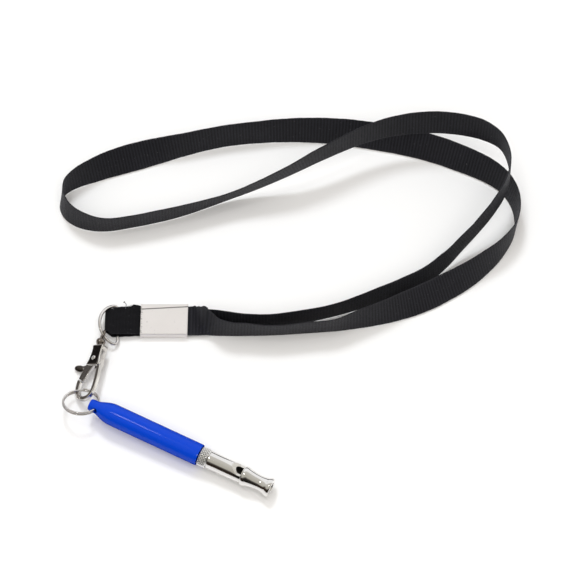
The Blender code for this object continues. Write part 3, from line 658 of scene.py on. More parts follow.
def crimp_look():
    """Satin nickel sheet: brushed grain, specks, a painted highlight on the folded edges,
    painted shade in the seam.
    """
    look = metal_look("crimp_sheet", base=(0.79, 0.76, 0.745), rough=0.42,
                      tint=(0.69, 0.66, 0.645), grain=0.8, stretch=(0.08, 1.0, 1.0),
                      patina=0.20, metallic=0.45)
    colour = look.colour()
    position = look.coord["Object"]
    for x, y, radius, strength in CRIMP_SPECKS:
        away = look.node("ShaderNodeVectorMath", {
            0: position, 1: (x * MM, y * MM, CRIMP_H * MM)},
            operation="DISTANCE").outputs["Value"]
        dot = look.span(away, over=(0.25 * radius * MM, radius * MM), to=(strength, 0.0))
        colour = look.blend(dot, colour, (0.30, 0.28, 0.27))
    # painted shade: a dark line in the groove where the turned-over sheet ends along the far
    # side
    x, y, z = look.parts(position)
    slope = SEAM_SLANT / CRIMP_LENGTH
    seam_y = look.times_add(x, slope, (CRIMP_Y + SEAM_Y - slope * CRIMP_X0) * MM)
    away = look.math("ABSOLUTE", look.math("SUBTRACT", y, seam_y))
    seam_shade = look.span(away, over=(0.16 * MM, 0.36 * MM), to=(0.85, 0.0))
    seam_shade = look.times(seam_shade, look.span(z, over=((CRIMP_H - 0.5) * MM, (CRIMP_H - 0.3) * MM)))
    look.put({"Base Color": look.blend(seam_shade, colour, (0.12, 0.115, 0.11)),
              "Anisotropic": 0.35, "Specular IOR Level": 0.3})
    return look.mat


def moulded_look(name, base, pale, rough):
    """Moulded rubber or plastic: fine grain, flow marks, pale scuffs."""
    look = Look(name)
    grain = look.noise(scale=2400.0, detail=2.0, rough=0.6)
    cloud = look.noise(scale=300.0, detail=3.0)
    wear = look.span(look.pointiness(), over=(0.53, 0.62), to=(0.0, 0.5))
    colour = look.blend(look.times(cloud, 0.6), base, pale)
    scuff = tuple(min(1.0, channel * 2.2) for channel in pale)
    look.put({
        "Base Color": look.blend(wear, colour, scuff),
        "Roughness": look.span(grain, over=(0.3, 0.7), to=(rough - 0.08, rough + 0.1)),
        "Normal": look.bump(grain, strength=0.25, distance=0.00003)})
    return look.mat


def nut_look():
    """Bright plate with painted shade in the knurl's grooves; UV x holds the groove depth."""
    look = metal_look("nut_plate", base=(0.95, 0.945, 0.94), rough=0.30,
                      tint=(0.62, 0.59, 0.57), patina=0.15)
    # painted shade, darker where the groove is deeper
    groove = look.span(look.parts(look.coord["UV"])[0], over=(0.42, 0.85), to=(0.0, 0.85))
    look.put({"Base Color": look.blend(groove, look.colour(), (0.085, 0.078, 0.075))})
    return look.mat


RIBBON_MAT = ribbon_look("ribbon", light=(0.0170, 0.0170, 0.0225),
                         dark=(0.0042, 0.0042, 0.0064), ribs=0.8, gloss=0.28)
# the tab is the same ribbon as the neck ribbon, painted darker as shade
TAB_SHADED_MAT = ribbon_look("tab_ribbon", light=(0.0075, 0.0075, 0.010),
                      dark=(0.0026, 0.0026, 0.0036), ribs=0.25, gloss=0.18)
CRIMP_MAT = crimp_look()
# rim paints a dark reflection along the silhouette edges
WIRE_MAT = metal_look("ring_wire", base=(0.80, 0.78, 0.77), rough=0.13,
                      tint=(0.62, 0.57, 0.56), grain=0.7, patina=0.3, rim=0.75).mat
CAST_MAT = metal_look("clasp_casting", base=(0.86, 0.84, 0.81), rough=0.12,
                      tint=(0.62, 0.56, 0.50), grain=0.4, casting=0.06, patina=0.28,
                      rim=0.85).mat
# the knob's dark base colour is a painted dark reflection
EYE_MAT = metal_look("swivel_knob", base=(0.30, 0.265, 0.235), rough=0.12,
                     tint=(0.11, 0.085, 0.07), grain=0.4, casting=0.06, patina=0.6,
                     rim=0.8).mat
# painted dark reflection, used on the clasp's flat cheeks and the trigger's thumb pad
DARK_REFLECTION_MAT = metal_look("clasp_cheek", base=(0.090, 0.078, 0.070), rough=0.20,
                       tint=(0.035, 0.028, 0.024), grain=0.6, casting=0.10, patina=0.9,
                       rim=0.3).mat
TRIGGER_MAT = metal_look("trigger_plate", base=(0.70, 0.68, 0.66), rough=0.14,
                         tint=(0.42, 0.38, 0.34), grain=0.6, casting=0.04,
                         patina=0.35).mat
PIN_MAT = metal_look("pin_steel", base=(0.78, 0.76, 0.74), rough=0.22,
                     tint=(0.5, 0.46, 0.42), grain=0.8, patina=0.3).mat
SPRING_MAT = metal_look("spring_steel", base=(0.62, 0.61, 0.60), rough=0.25,
                        tint=(0.35, 0.32, 0.30), grain=0.8, patina=0.4).mat
BARREL_MAT = lacquer_look()
BRASS_MAT = metal_look("brass", base=(0.72, 0.53, 0.24), rough=0.26,
                       tint=(0.50, 0.33, 0.12), grain=0.7, stretch=(1.0, 1.0, 0.05),
                       patina=0.35).mat
RUBBER_MAT = moulded_look("seal_rubber", base=(0.018, 0.018, 0.018),
                          pale=(0.035, 0.035, 0.037), rough=0.55)
NUT_MAT = nut_look()
CUT_MAT = metal_look("head_cut", base=(0.78, 0.76, 0.71), rough=0.42,
                     tint=(0.60, 0.57, 0.50), grain=0.8, patina=0.2).mat
HEAD_MAT = metal_look("head_plate", base=(0.82, 0.81, 0.80), rough=0.065,
                      tint=(0.66, 0.63, 0.58), grain=0.35, casting=0.015,
                      stretch=(1.0, 1.0, 0.06), patina=0.12).mat
PLUG_MAT = moulded_look("plug_plastic", base=(0.030, 0.030, 0.034),
                        pale=(0.055, 0.055, 0.06), rough=0.42)
THREAD_MAT = moulded_look("loose_thread", base=(0.055, 0.055, 0.06),
                          pale=(0.12, 0.12, 0.13), rough=0.8)
# painted shade for the inside of the head tube's bore
BORE_SHADE_MAT = moulded_look("tube_inside", base=(0.012, 0.011, 0.010),
                        pale=(0.030, 0.026, 0.020), rough=0.55)


# ---------------------------------------------------------------- neck ribbon
FLAT_Y = CRIMP_Y - RIBBON_W / 2
# The ribbon's lower edge from crimp to crimp: x, y, z, and its lean from
# upright in degrees.
RIBBON_STOPS = [
    (-57, FLAT_Y, LAYER_LOW, 90), (-48, FLAT_Y, LAYER_LOW, 90),
    (-42, FLAT_Y, LAYER_LOW, 90), (-40, FLAT_Y, LAYER_LOW, 90),
    (-36.8, FLAT_Y, 1.33, 84), (-34.4, -12.75, 1.2, 55), (-32, -12.4, 1, 31),
    (-29, -11.8, 0.9, 21), (-20, -10.7, 0.5, 8), (-10, -9.5, 0.4, 0), (0, -8, 0.4, -2),
    (18, -3.8, 0.4, -4), (37, 2.5, 0.4, 3), (47, 6, 0.4, 8), (56, 11, 0.4, 8),
    (64, 18, 0.9, 7), (71, 25, 3.8, 3), (78, 31.5, 8, 1), (84, 38, 11.6, 3),
    (89, 46.5, 13.3, 4), (91, 57, 13.4, 3), (88, 67.5, 13.2, 2), (80, 72.8, 12.8, -7),
    (70, 75.5, 12.4, -11), (60, 76.4, 12.2, -12), (50, 76, 12, -10), (40, 74.3, 12, -6),
    (30, 71, 12, -2), (20.5, 66.7, 11.8, 2), (11, 62.3, 11, 6), (2, 58.7, 8.8, 12),
    (-7.5, 55.8, 5.6, 16), (-17, 53.2, 2.6, 18), (-26.7, 50.2, 0.8, 18),
    (-36.3, 46.3, 0.4, 14), (-46, 42.6, 0.4, 10), (-55.7, 39.8, 0.4, 8),
    (-65.9, 37.5, 0.4, 8), (-76.1, 35.8, 0.4, 5), (-85.8, 37, 0.4, -5),
    (-92.7, 41.2, 0.4, -11), (-95.6, 47.2, 0.4, -12), (-93.9, 53, 0.4, -4),
    (-89.3, 56.5, 0.4, 6), (-82.2, 59.3, 0.4, 18), (-73, 62.5, 0.4, 29),
    (-63.3, 65.6, 0.4, 33), (-53.6, 69, 0.4, 26), (-44.4, 72.3, 0.4, 17),
    (-34.7, 75.3, 0.4, 13), (-25, 77.5, 0.4, 12), (-15, 78.7, 0.4, 13),
    (-5, 79.3, 0.4, 17), (5, 79.3, 0.4, 21), (15, 78.7, 0.4, 25), (25, 77.5, 0.4, 29),
    (34, 75.8, 0.4, 32), (44, 73.8, 0.4, 34), (54, 71.2, 0.4, 33), (63, 68.1, 0.4, 32),
    (72, 64.3, 0.4, 29), (81, 60, 0.4, 23), (88.5, 54.3, 0.4, 15), (93, 45.5, 0.4, 8),
    (93, 34.5, 0.4, 1), (88.2, 24.5, 0.4, -9), (81.5, 16.3, 0.4, -21),
    (74, 9.5, 0.4, -30), (65.5, 3.8, 0.4, -36), (57, -0.9, 0.4, -37),
    (48, -4.5, 0.4, -32), (38.5, -7.2, 0.4, -21), (29, -9, 0.4, -11),
    (20, -10.3, 0.4, -3), (10.5, -11.1, 0.4, 4), (1, -11.8, 0.4, 9),
    (-8.5, -12.4, 0.5, 9), (-18, -12.7, 0.7, 4), (-24, -12.85, 0.95, 2),
    (-29.8, -12.95, 1.3, -8), (-33.9, -12.9, 1.8, -28), (-36.5, FLAT_Y, 1.95, -60),
    (-38.4, FLAT_Y, 1.95, -85), (-40, FLAT_Y, LAYER_HIGH, -90),
    (-42, FLAT_Y, LAYER_HIGH, -90), (-48, FLAT_Y, LAYER_HIGH, -90),
    (-57, FLAT_Y, LAYER_HIGH, -90),
]
# Across the ribbon: distance from its edge, share of thickness, share of rib relief.
RIBBON_SECTION = [
    (0.0, 0.40, 0), (0.07, 0.80, 0), (0.22, 1.0, 0.15), (0.45, 1.0, 0.35),
    (0.75, 0.94, 0.8), (1.6, 1, 1), (3.2, 1, 1), (5.2, 1, 1), (7.5, 1, 1), (9.5, 1, 1),
    (11.1, 1, 1), (11.95, 0.94, 0.8), (12.25, 1.0, 0.35), (12.48, 1.0, 0.15),
    (12.63, 0.80, 0), (12.7, 0.40, 0),
]


def resampled(line, spacing, dims):
    """Distances at about even spacing, and the line's columns there; the first
    dims columns are its coordinates."""
    steps = np.linalg.norm(np.diff(line[:, :dims], axis=0), axis=1)
    length = np.concatenate([[0.0], np.cumsum(steps)])
    run = np.linspace(0.0, length[-1], int(length[-1] / spacing))
    return run, [np.interp(run, length, column) for column in line.T]


def unit_rows(vectors):
    return vectors / np.linalg.norm(vectors, axis=1)[:, None]


def neck_ribbon():
    line = np.array(spline(RIBBON_STOPS, 40))
    run, cols = resampled(line, spacing=RIB_PITCH / 6, dims=3)
    count = len(run)
    position = np.stack(cols[:3], 1)
    lean = np.radians(cols[3])
    # the strand coming back leans out, so a sliver of table shows between them
    coming = (np.arange(count) > count / 2) & (position[:, 1] < 5.0)
    lean = lean + (np.radians(6.5) * coming
                   * np.exp(-((position[:, 0] - 17.8) / 8.0) ** 2))
    ahead = unit_rows(np.gradient(position, axis=0))
    left = unit_rows(np.stack([-ahead[:, 1], ahead[:, 0], np.zeros(count)], 1))
    up = unit_rows(np.cross(ahead, left))
    across = left * np.sin(lean)[:, None] + up * np.cos(lean)[:, None]
    normal = np.cross(ahead, across)
    rib = 1.0 - (1.0 - np.abs(np.sin(math.pi * run / RIB_PITCH))) ** 2
    wobble = 0.035 * np.sin(run * 0.61) + 0.02 * np.sin(run * 1.73 + 1.0)
    columns, uvs = [], []
    for side, section in ((1.0, RIBBON_SECTION), (-1.0, RIBBON_SECTION[::-1])):
        for width, thick, relief in section:
            height = side * (0.212 * thick + 0.036 * relief * rib)
            reach = np.full(count, width)
            if width < 0.5 or width > 12.2:
                # the selvedges bulge with the ribs and wander a little
                out = -0.045 if width < 0.5 else 0.045
                reach = reach + out * rib * (1 - relief) + wobble * (1 - relief)
            columns.append(position + across * reach[:, None] + normal * height[:, None])
            uvs.append(np.stack([run, np.full(count, width)], 1))
    grid = np.stack(columns, 1)
    # both strands curl over a little as they leave the crimp
    near = np.exp(-((grid[..., 0] + 36.8) / 2.6) ** 2) * (grid[..., 1] < 5.0)
    rise = np.clip((grid[..., 2] - 1.8) / 5.2, 0.0, 1.0)
    rise = rise * rise * (3.0 - 2.0 * rise) * near
    grid[..., 1] -= 1.1 * rise
    grid[..., 2] -= 1.4 * rise
    obj = closed_strip("neck_ribbon_weave", grid.tolist(), np.stack(uvs, 1).reshape(-1, 2))
    return smooth(obj, 60)


# ----------------------------------------------------------------- ribbon tab
# The tab's two legs, crimp to fold and fold to crimp: x, z.
TAB_LOWER = [(-43.5, TAB_LOW), (-52.0, TAB_LOW), (-60.5, TAB_LOW), (-63.5, 0.62),
             (-66.5, 0.42), (-70.0, 0.35), (-72.8, 0.45)]
TAB_UPPER = [(-72.8, 3.28), (-70.0, 3.38), (-66.5, 3.2), (-63.5, 2.85),
             (-60.5, TAB_HIGH), (-52.0, TAB_HIGH), (-43.5, TAB_HIGH)]
TAB_COLS = 26


def tab_pinch(x):
    """How far the tab has narrowed, from the crimp (0) towards the fold (1)."""
    return clamped((-61.0 - x) / 12.0) ** 1.3


def ribbon_tab():
    turn = []
    for k in range(1, 12):
        angle = math.radians(-90 + k * 15.0)
        rise = math.copysign(abs(math.sin(angle)) ** 0.7, math.sin(angle))
        turn.append((-72.8 - 1.50 * math.cos(angle) ** 0.7, 1.85 + 1.40 * rise))
    path = np.array(spline(TAB_LOWER + turn + TAB_UPPER, 30))
    run, (path_x, path_z) = resampled(path, spacing=0.2, dims=2)
    step_x, step_z = np.gradient(path_x), np.gradient(path_z)
    step = np.hypot(step_x, step_z)
    # outwards from the fold: below the lower leg, above the upper one
    out_x, out_z = step_z / step, -step_x / step
    rows, uvs = [], []
    for i, (x, z) in enumerate(zip(path_x, path_z)):
        pinch = tab_pinch(x)
        corner = clamped((-71.4 - x) / 2.3)
        free = clamped((-60.2 - x) / 1.6)
        upper = run[i] > run[-1] / 2
        near = CRIMP_Y - RIBBON_W / 2 - TAB_PINCH_NEAR * pinch + 2.0 * corner
        far = CRIMP_Y + RIBBON_W / 2 - 1.65 * pinch
        near += 0.16 * lumps(x * 0.9, 3.1 if upper else 7.7, 0.0) * free
        far += 0.14 * lumps(x * 0.8, 11.0, 0.5) * free
        if upper:
            # the sewn-in cut end stands out a little at the far side
            share = (x + 63.9) / 3.5
            if 0.0 < share < 1.0:
                far += 0.85 * min(1.0, share * 5.0) * (1.0 - share) ** 0.7
        outer, inner = [], []
        for j in range(TAB_COLS):
            # columns crowd towards both edges
            share = j / (TAB_COLS - 1)
            share = 0.5 - 0.5 * math.cos(math.pi * (0.08 + 0.84 * share))
            share = clamped((share - 0.0157) / (1 - 0.0314))
            y = near + (far - near) * share
            crease = (0.55 * lumps(x * 0.35, y * 0.42, 1.0 if upper else 5.0)
                      + 0.30 * lumps(x * 1.1, y * 0.9, 2.0)
                      + 0.16 * math.sin(y * 1.5 + 1.2 * math.sin(x * 0.6)))
            lift = (0.16 + 0.30 * crease) * free
            if not upper or x < -71.9:
                lift *= 0.35
            lift = max(-0.02, lift)
            edge = min(share, 1.0 - share) * (far - near)
            body = min(1.0, 0.45 + edge / 0.35)
            half = 0.235 * body
            rib = 0.020 * abs(math.sin(math.pi * run[i] / 0.65)) * free * body
            high, low = lift + half + rib, lift - half
            outer.append((x + out_x[i] * high, y, z + out_z[i] * high))
            inner.append((x + out_x[i] * low, y, z + out_z[i] * low))
        rows.append(outer + inner[::-1])
        line = [(run[i], RIBBON_W * j / (TAB_COLS - 1)) for j in range(TAB_COLS)]
        uvs.append(line + line[::-1])
    return smooth(closed_strip("ribbon_tab_folded", rows, np.array(uvs).reshape(-1, 2)), 60)


def loose_thread():
    """One thread on top of the tab, with a small knot near its far end."""
    path = spline([(-66.15, -1.9, 2.9), (-66.2, -1.3, 3.35), (-66.02, -0.3, 3.45),
                   (-66.25, 0.5, 3.4), (-66.75, 1.05, 3.25), (-66.98, 1.3, 3.2)], 6)
    last = len(path) - 1

    def radius(row):
        return 0.12 + 0.30 * math.exp(-((row / last - 0.92) / 0.08) ** 2)
    return tube_along("loose_thread", path, radius, sides=8)


def tab_fibres():
    bits = []
    for k in range(26):
        # frayed ends in a row across the tab where it enters the crimp
        y = -12.6 + 11.6 * (k + RNG.uniform(-0.4, 0.4)) / 25
        drift = RNG.uniform(-0.35, 0.35)
        reach = RNG.uniform(-0.25, 0.55)
        path = spline([(-60.9, y, 2.95), (-60.35, y + drift * 0.4, 3.28),
                       (-60.0, y + drift * 0.8, 3.42),
                       (-59.75 + reach, y + drift * 1.5, 3.40)], 4)
        bits.append(tube_along(f"fibre{k}", path, 0.055, sides=6))
    for k in range(16):
        # short fuzz round the tab's two free edges
        near = k % 2 == 0
        x = -62.0 - 10.0 * RNG.random()
        pinch = tab_pinch(x)
        y = (CRIMP_Y - RIBBON_W / 2 - TAB_PINCH_NEAR * pinch if near
             else CRIMP_Y + RIBBON_W / 2 - 1.75 * pinch)
        out = -1.0 if near else 1.0
        z = 3.0 if x > -71 else 2.6
        path = spline([(x, y - out * 0.3, z), (x + 0.1, y + out * 0.12, z + 0.05),
                       (x + RNG.uniform(-0.4, 0.4), y + out * RNG.uniform(0.25, 0.5),
                        z + RNG.uniform(-0.2, 0.15))], 4)
        bits.append(tube_along(f"fuzz{k}", path, 0.04, sides=6))
    joined = bmesh.new()
    for bit in bits:
        joined.from_mesh(bit.data)
        bpy.data.objects.remove(bit, do_unlink=True)
    return smooth(from_bmesh("tab_fibres", joined), 60)


# ---------------------------------------------------------------------- crimp
def crimp_section():
    """Middle line of the bent sheet as (y, z), from the gap underneath and round."""
    half = CRIMP_D / 2 - CRIMP_SHEET / 2
    low, high = CRIMP_SHEET / 2, CRIMP_H - CRIMP_SHEET / 2
    bend, gap = 0.55, 0.18
    floor_run = half - bend - gap
    line = [(gap + floor_run * k / 13, low) for k in range(13)]
    # bend centre y and z, start angle, steps of the flat after it, where that flat ends
    bends = ((half - bend, low + bend, -90, 3, (half, high - bend)),
             (half - bend, high - bend, 0, 72, (bend - half, high)),
             (bend - half, high - bend, 90, 3, (-half, low + bend)),
             (bend - half, low + bend, 180, 0, None))
    for y, z, start, flat, target in bends:
        for k in range(9):
            angle = math.radians(start + 90.0 * k / 8)
            line.append((y + bend * math.cos(angle), z + bend * math.sin(angle)))
        y0, z0 = line[-1]
        for k in range(1, flat):
            line.append((y0 + (target[0] - y0) * k / flat, z0 + (target[1] - z0) * k / flat))
    line += [(-(half - bend) + floor_run * k / 13, low) for k in range(13)]
    line.append((-gap, low))
    return line


def crimp():
    line = crimp_section()
    top = CRIMP_H - CRIMP_SHEET / 2 - 0.01
    last = len(line) - 1
    normals = []
    for i in range(last + 1):
        before, after = line[max(0, i - 1)], line[min(last, i + 1)]
        step_y, step_z = after[0] - before[0], after[1] - before[1]
        step = math.hypot(step_y, step_z)
        normals.append((step_z / step, -step_y / step))
    # stations along x, close together at the two ends
    end_stations = [0.0, 0.03, 0.09, 0.18, 0.35, 0.7, 1.2, 2.0]
    stations = end_stations + [2.0 + 15.0 * k / 30 for k in range(1, 30)]
    stations += [CRIMP_LENGTH - station for station in end_stations[::-1]]
    end_shares = {0.0: 0.35, 0.03: 0.7, 0.09: 0.93}  # the sheet thins to a rounded lip
    rows = []
    for station in stations:
        near_end = min(station, CRIMP_LENGTH - station)
        half = CRIMP_SHEET / 2 * end_shares.get(round(near_end, 3), 1.0)
        flare = 0.20 * max(0.0, 1.0 - near_end / 0.75) ** 2
        wave = 0.05 * math.exp(-near_end / 0.5) if station < 5 else 0.0
        outer, inner = [], []
        for (y, z), (normal_y, normal_z) in zip(line, normals):
            dent = 0.0
            if z > top:
                if abs(y) < 6.0:
                    fade = (1 - (abs(y) / 6.0) ** 4) * min(1.0, near_end / 1.2)
                    dent = (0.035 * lumps(station * 0.16, y * 0.22, 4.0)
                            + 0.012 * lumps(station * 0.9, y * 0.8, 9.0))
                    dent = (dent - 0.02) * fade
                # the seam is a narrow groove
                from_seam = y - SEAM_Y - SEAM_SLANT * station / CRIMP_LENGTH
                dent -= 0.15 * math.exp(-(from_seam / 0.20) ** 2)
            x = CRIMP_X0 + station + wave * math.sin(y * 2.1 + 1.0)
            for points, offset in ((outer, half), (inner, -half)):
                out = offset + flare + dent
                points.append((x, CRIMP_Y + y + normal_y * out, z + normal_z * out))
        # nothing goes under the table
        outer = [(x, y, max(0.0, z)) for x, y, z in outer]
        rows.append(outer + inner[::-1])
    return smooth(closed_strip("crimp_folded", rows), 40)


# --------------------------------------------------------------- rings and eye
def d_ring():
    """Bar along y and bow towards x, in the ring's own frame."""
    def corner(angle, side):
        return (DRING_CORNER + DRING_CORNER * math.sin(angle),
                side * DRING_HALF_BAR + DRING_CORNER * math.cos(angle))

    points = [(0.0, -DRING_HALF_BAR + k * DRING_HALF_BAR / 12) for k in range(24)]
    for k in range(25):
        points.append(corner(-math.pi / 2 + k / 24 * (math.pi / 2 + CORNER_END), 1))
    for k in range(1, 80):
        angle = CORNER_END + k / 80 * (math.pi - 2 * CORNER_END)
        points.append((BOW_CENTRE + BOW_R * math.sin(angle), BOW_R * math.cos(angle)))
    for k in range(24):
        points.append(corner(math.pi - CORNER_END + k / 24 * (CORNER_END + math.pi / 2), -1))
    path = []
    for x, y in points:
        if not path or math.hypot(x - path[-1][0], y - path[-1][1]) > 0.02:
            path.append((x, y, 0.0))
    return place(tube_along("d_ring", path, DRING_WIRE, cyclic=True, sides=24), DRING_FRAME)


def swivel_eye():
    """Loop, knob and headed shank; the shank's z is measured from the knob."""
    loop_r = 1.9
    angles = [2 * math.pi * k / 72 for k in range(72)]
    ring = tube_along("eye_loop", [(loop_r * math.cos(angle), 0.0, loop_r * math.sin(angle))
                                   for angle in angles], 0.52, cyclic=True, sides=20)
    head = [(0.0, 5.2), (0.8, 5.2), (0.9, 5.05), (0.9, 4.7), (0.8, 4.55), (0.5, 4.55),
            (0.5, 2.15), (1.0, 2.15)]
    dome = spline([(1.0, 2.15), (1.1, 1.9), (1.45, 1.55), (1.8, 0.9), (1.9, 0.3),
                   (1.75, -0.35), (1.3, -0.85), (0.7, -1.05), (0.0, -1.07)], 4)
    shank = lathe("eye_shank", head + dome[1:], 64, z0=-EYE_TO_KNOB)
    return place(cast(join_by(shank, ring, "UNION"), voxel=0.085, passes=3), EYE_FRAME)


# ---------------------------------------------------------------------- clasp
# Outlines in the clasp's frame: across, down from the knob.
HOOK_OUTLINE = [
    (-1.6, 2.5), (1.0, 2.4), (3.1, 2.5), (3.4, 4.5), (3.6, 7.5), (4.1, 10.5),
    (4.6, 13.5), (4.9, 16.5), (4.95, 19.5), (4.8, 21.8), (4.1, 24.0), (2.6, 25.8),
    (0.6, 26.6), (-1.7, 26.2), (-3.6, 24.8), (-4.8, 22.7), (-5.3, 20.6), (-5.4, 18.6),
    (-5.2, 17.35), (-4.2, 17.85), (-3.35, 18.4), (-3.35, 19.6), (-3.2, 21.5),
    (-2.6, 23.2), (-1.4, 24.5), (0.6, 24.9), (2.2, 24.2), (3.0, 22.7), (3.25, 20.8),
    (3.2, 18.6), (3.0, 16.2), (2.7, 13.6), (2.3, 12.0), (1.2, 11.4), (-0.8, 11.3),
    (-2.3, 11.0), (-1.8, 9.2), (-1.5, 6.5)]
HOUSING_OUTLINE = [
    (-1.9, 2.5), (0.8, 2.35), (3.3, 2.5), (3.4, 4.5), (3.6, 7.5), (4.1, 10.4),
    (3.7, 11.5), (1.6, 11.7), (-0.6, 11.6), (-2.5, 11.1), (-1.9, 9.0), (-1.6, 6.5),
    (-1.6, 4.2)]
# The trigger's two edges beyond its hub, in its own frame: across, down from the pin.
TRIGGER_INSIDE = [(1.15, 1.0), (0.75, 1.9), (0.1, 2.9), (-0.7, 4.4), (-1.55, 6.2),
                  (-2.3, 8.4)]
TRIGGER_OUTSIDE = [(-5.5, 7.2), (-5.15, 6.0), (-5.0, 5.2), (-5.9, 5.15), (-6.4, 4.2),
                   (-6.1, 3.0), (-4.4, 2.55), (-3.4, 1.75), (-2.4, 0.95), (-1.7, 0.3)]
HUB_R, GATE_R = 1.5, 10.2


def clasp_body():
    hook = bevelled(plate("hook", spline(HOOK_OUTLINE, 4, closed=True), 0.86), 0.50)
    housing = bevelled(plate("housing", spline(HOUSING_OUTLINE, 4, closed=True), 1.76), 0.55)
    body = cut(join_by(hook, housing, "UNION"),
               box_between("slot", (-6.0, -0.85, 6.1), (2.6, 0.85, 13.0)),
               rod_between("bore", 0.66, (0, 0, 0.5), (0, 0, 5.0)),
               rod_between("pocket", 1.08, (0, 0, 4.25), (0, 0, 6.6)),
               rod_between("pin_hole", 0.72, (PIN_ACROSS, -4.0, PIN_DOWN),
                           (PIN_ACROSS, 4.0, PIN_DOWN)))
    return place(cast(body, voxel=0.10, passes=4), CLASP_FRAME)


def arc_points(radius, start, step, count):
    angles = [math.radians(start + k * step) for k in range(count)]
    return [(radius * math.cos(angle), radius * math.sin(angle)) for angle in angles]


def clasp_trigger():
    outline = (arc_points(HUB_R, 200.0, 10.0, 17) + TRIGGER_INSIDE
               + arc_points(GATE_R, 106.0, 2.25, 9) + TRIGGER_OUTSIDE)
    body = bevelled(plate("trigger_plate", spline(outline, 2, closed=True), 0.62), 0.16, 2)
    ball = bmesh.new()
    bmesh.ops.create_uvsphere(ball, u_segments=48, v_segments=24, radius=MM)
    bmesh.ops.transform(ball, verts=ball.verts,
                        matrix=Matrix.Translation((-6.7 * MM, 0.75 * MM, 4.0 * MM))
                        @ Matrix.Rotation(math.radians(-25.0), 4, "Z")
                        @ Matrix.Diagonal((2.2, 0.95, 1.35, 1.0)))
    body = join_by(body, from_bmesh("thumb", ball), "UNION")
    body = cut(body, rod_between("bore", 0.72, (0, -4, 0), (0, 4, 0)))
    return place(cast(body, voxel=0.085, passes=2), TRIGGER_FRAME)


def trigger_pin():
    head = [(0.0, 2.22), (0.35, 2.20), (0.66, 2.10), (0.90, 1.93), (0.97, 1.82),
            (0.93, 1.77), (0.6, 1.77)]
    profile = head + [(radius, -z) for radius, z in reversed(head)]
    obj = lathe("trigger_rivet", eased(profile, 0.06), 56)
    obj.data.transform(Matrix.Rotation(math.radians(90.0), 4, "X"))
    return place(smooth(obj, 50), TRIGGER_FRAME)


def trigger_spring():
    coil = []
    # close-wound at the wall, clear of the arm when the trigger is pulled
    for k in range(97):
        angle = 2.0 * math.pi * k / 44
        coil.append((1.55 + 0.25 * k / 96, 0.5 * math.cos(angle),
                     2.1 + 0.5 * math.sin(angle)))
    return place(tube_along("spring", coil, 0.055, sides=12), TRIGGER_FRAME)


# ------------------------------------------------------------- the split ring
def split_ring():
    """Coil lying in the plane of the hole's axis, with its wire in the hole."""
    hole_axis = (WHISTLE_FRAME.to_3x3() @ HOLE_DIR).normalized()
    towards = Vector(SPLIT_TOWARDS)
    towards = (towards - hole_axis * towards.dot(hole_axis)).normalized()
    centre = HOLE + towards * SPLIT_R
    up = towards.cross(hole_axis)
    if up.z < 0:
        up = -up
    x_axis = -towards
    y_axis = up.cross(x_axis)
    steps = 112
    path = []
    for k in range(int(SPLIT_TURNS * steps) + 1):
        turn = k / steps
        angle = math.radians(SPLIT_START) + 2.0 * math.pi * turn
        rise = (turn - SPLIT_TURNS / 2) * SPLIT_PITCH
        path.append(centre + (x_axis * math.cos(angle) + y_axis * math.sin(angle)) * SPLIT_R
                    + up * rise)
    return tube_along("split_ring_wire", path, SPLIT_WIRE, sides=20)


# ---------------------------------------------------------------- the whistle
def shoulder(z):
    """Barrel radius where the neck swells to the full width."""
    neck, start, end = 2.52, 3.3, 10.3
    share = clamped((z - start) / (end - start))
    return neck + (BARREL_R - neck) * (math.sin(share * math.pi / 2) ** 1.12)


def barrel():
    outer = [(BARREL_BORE, BARREL_END), (BARREL_R - 0.22, BARREL_END),
             (BARREL_R - 0.06, BARREL_END - 0.07), (BARREL_R, BARREL_END - 0.28)]
    outer += [(BARREL_R, BARREL_END - 0.28 - 36.0 * k / 12) for k in range(1, 12)]
    for k in range(40, -1, -1):
        z = 3.2 + 8.3 * k / 40
        outer.append((shoulder(z), z))
    outer += [(2.47, 2.6), (2.44, 2.0), (2.40, 1.2), (2.35, 0.5), (2.27, 0.26),
              (2.12, 0.10), (1.8, 0.0), (0.0, 0.0)]
    inner = [(0.0, 6.4), (1.25, 6.4), (1.25, 9.8), (2.6, 11.6), (BARREL_BORE, 14.0)]
    obj = lathe("barrel_shell", outer + inner, 160, closed=True, z0=HOLE_Z)
    obj = cut(obj, rod_between("cross", HOLE_R, HOLE_DIR * -6.0, HOLE_DIR * 6.0, 72))
    obj = bevelled(obj, 0.10, segments=3, angle=48.0)
    return place(smooth(obj, 38), WHISTLE_FRAME)


def lock_nut():
    """Diamond-knurled band with chamfered ends."""
    around, rows, starts = 320, 48, 20
    helix = starts / NUT_R
    angles = [2.0 * math.pi * k / around for k in range(around)]
    verts, uvs = [], []
    for j in range(rows + 1):
        z = NUT_Z0 + (NUT_Z1 - NUT_Z0) * j / rows
        edge = min(z - NUT_Z0, NUT_Z1 - z)
        base = NUT_R - max(0.0, 0.26 - edge) * 0.9
        deep = 0.22 * clamped((edge - 0.10) / 0.28)
        for angle in angles:
            # two sets of helical grooves, one of each hand
            phases = [(starts * angle + hand * helix * z) / (2 * math.pi) for hand in (1, -1)]
            groove = max(abs((phase % 1.0) * 2.0 - 1.0) for phase in phases) ** 4.0
            uvs.append((groove * min(1.0, deep / 0.12), z))
            verts.append(on_circle(base - deep * groove, angle, z - HOLE_Z))
    for radius, z in ((3.42, NUT_Z1), (3.28, NUT_Z1 - 0.04), (3.2, NUT_Z1 - 0.14),
                      (3.2, NUT_Z0 + 0.14), (3.28, NUT_Z0 + 0.04), (3.42, NUT_Z0)):
        for angle in angles:
            verts.append(on_circle(radius, angle, z - HOLE_Z))
            uvs.append((0.0, z))
    faces = []
    rings = [*range(0, len(verts), around), 0]
    for low, high in zip(rings, rings[1:]):
        faces += ring_quads(low, high, around)
    obj = tidy(new_object("nut_knurled", verts, faces, np.array(uvs)))
    return place(smooth(obj, 30), WHISTLE_FRAME)


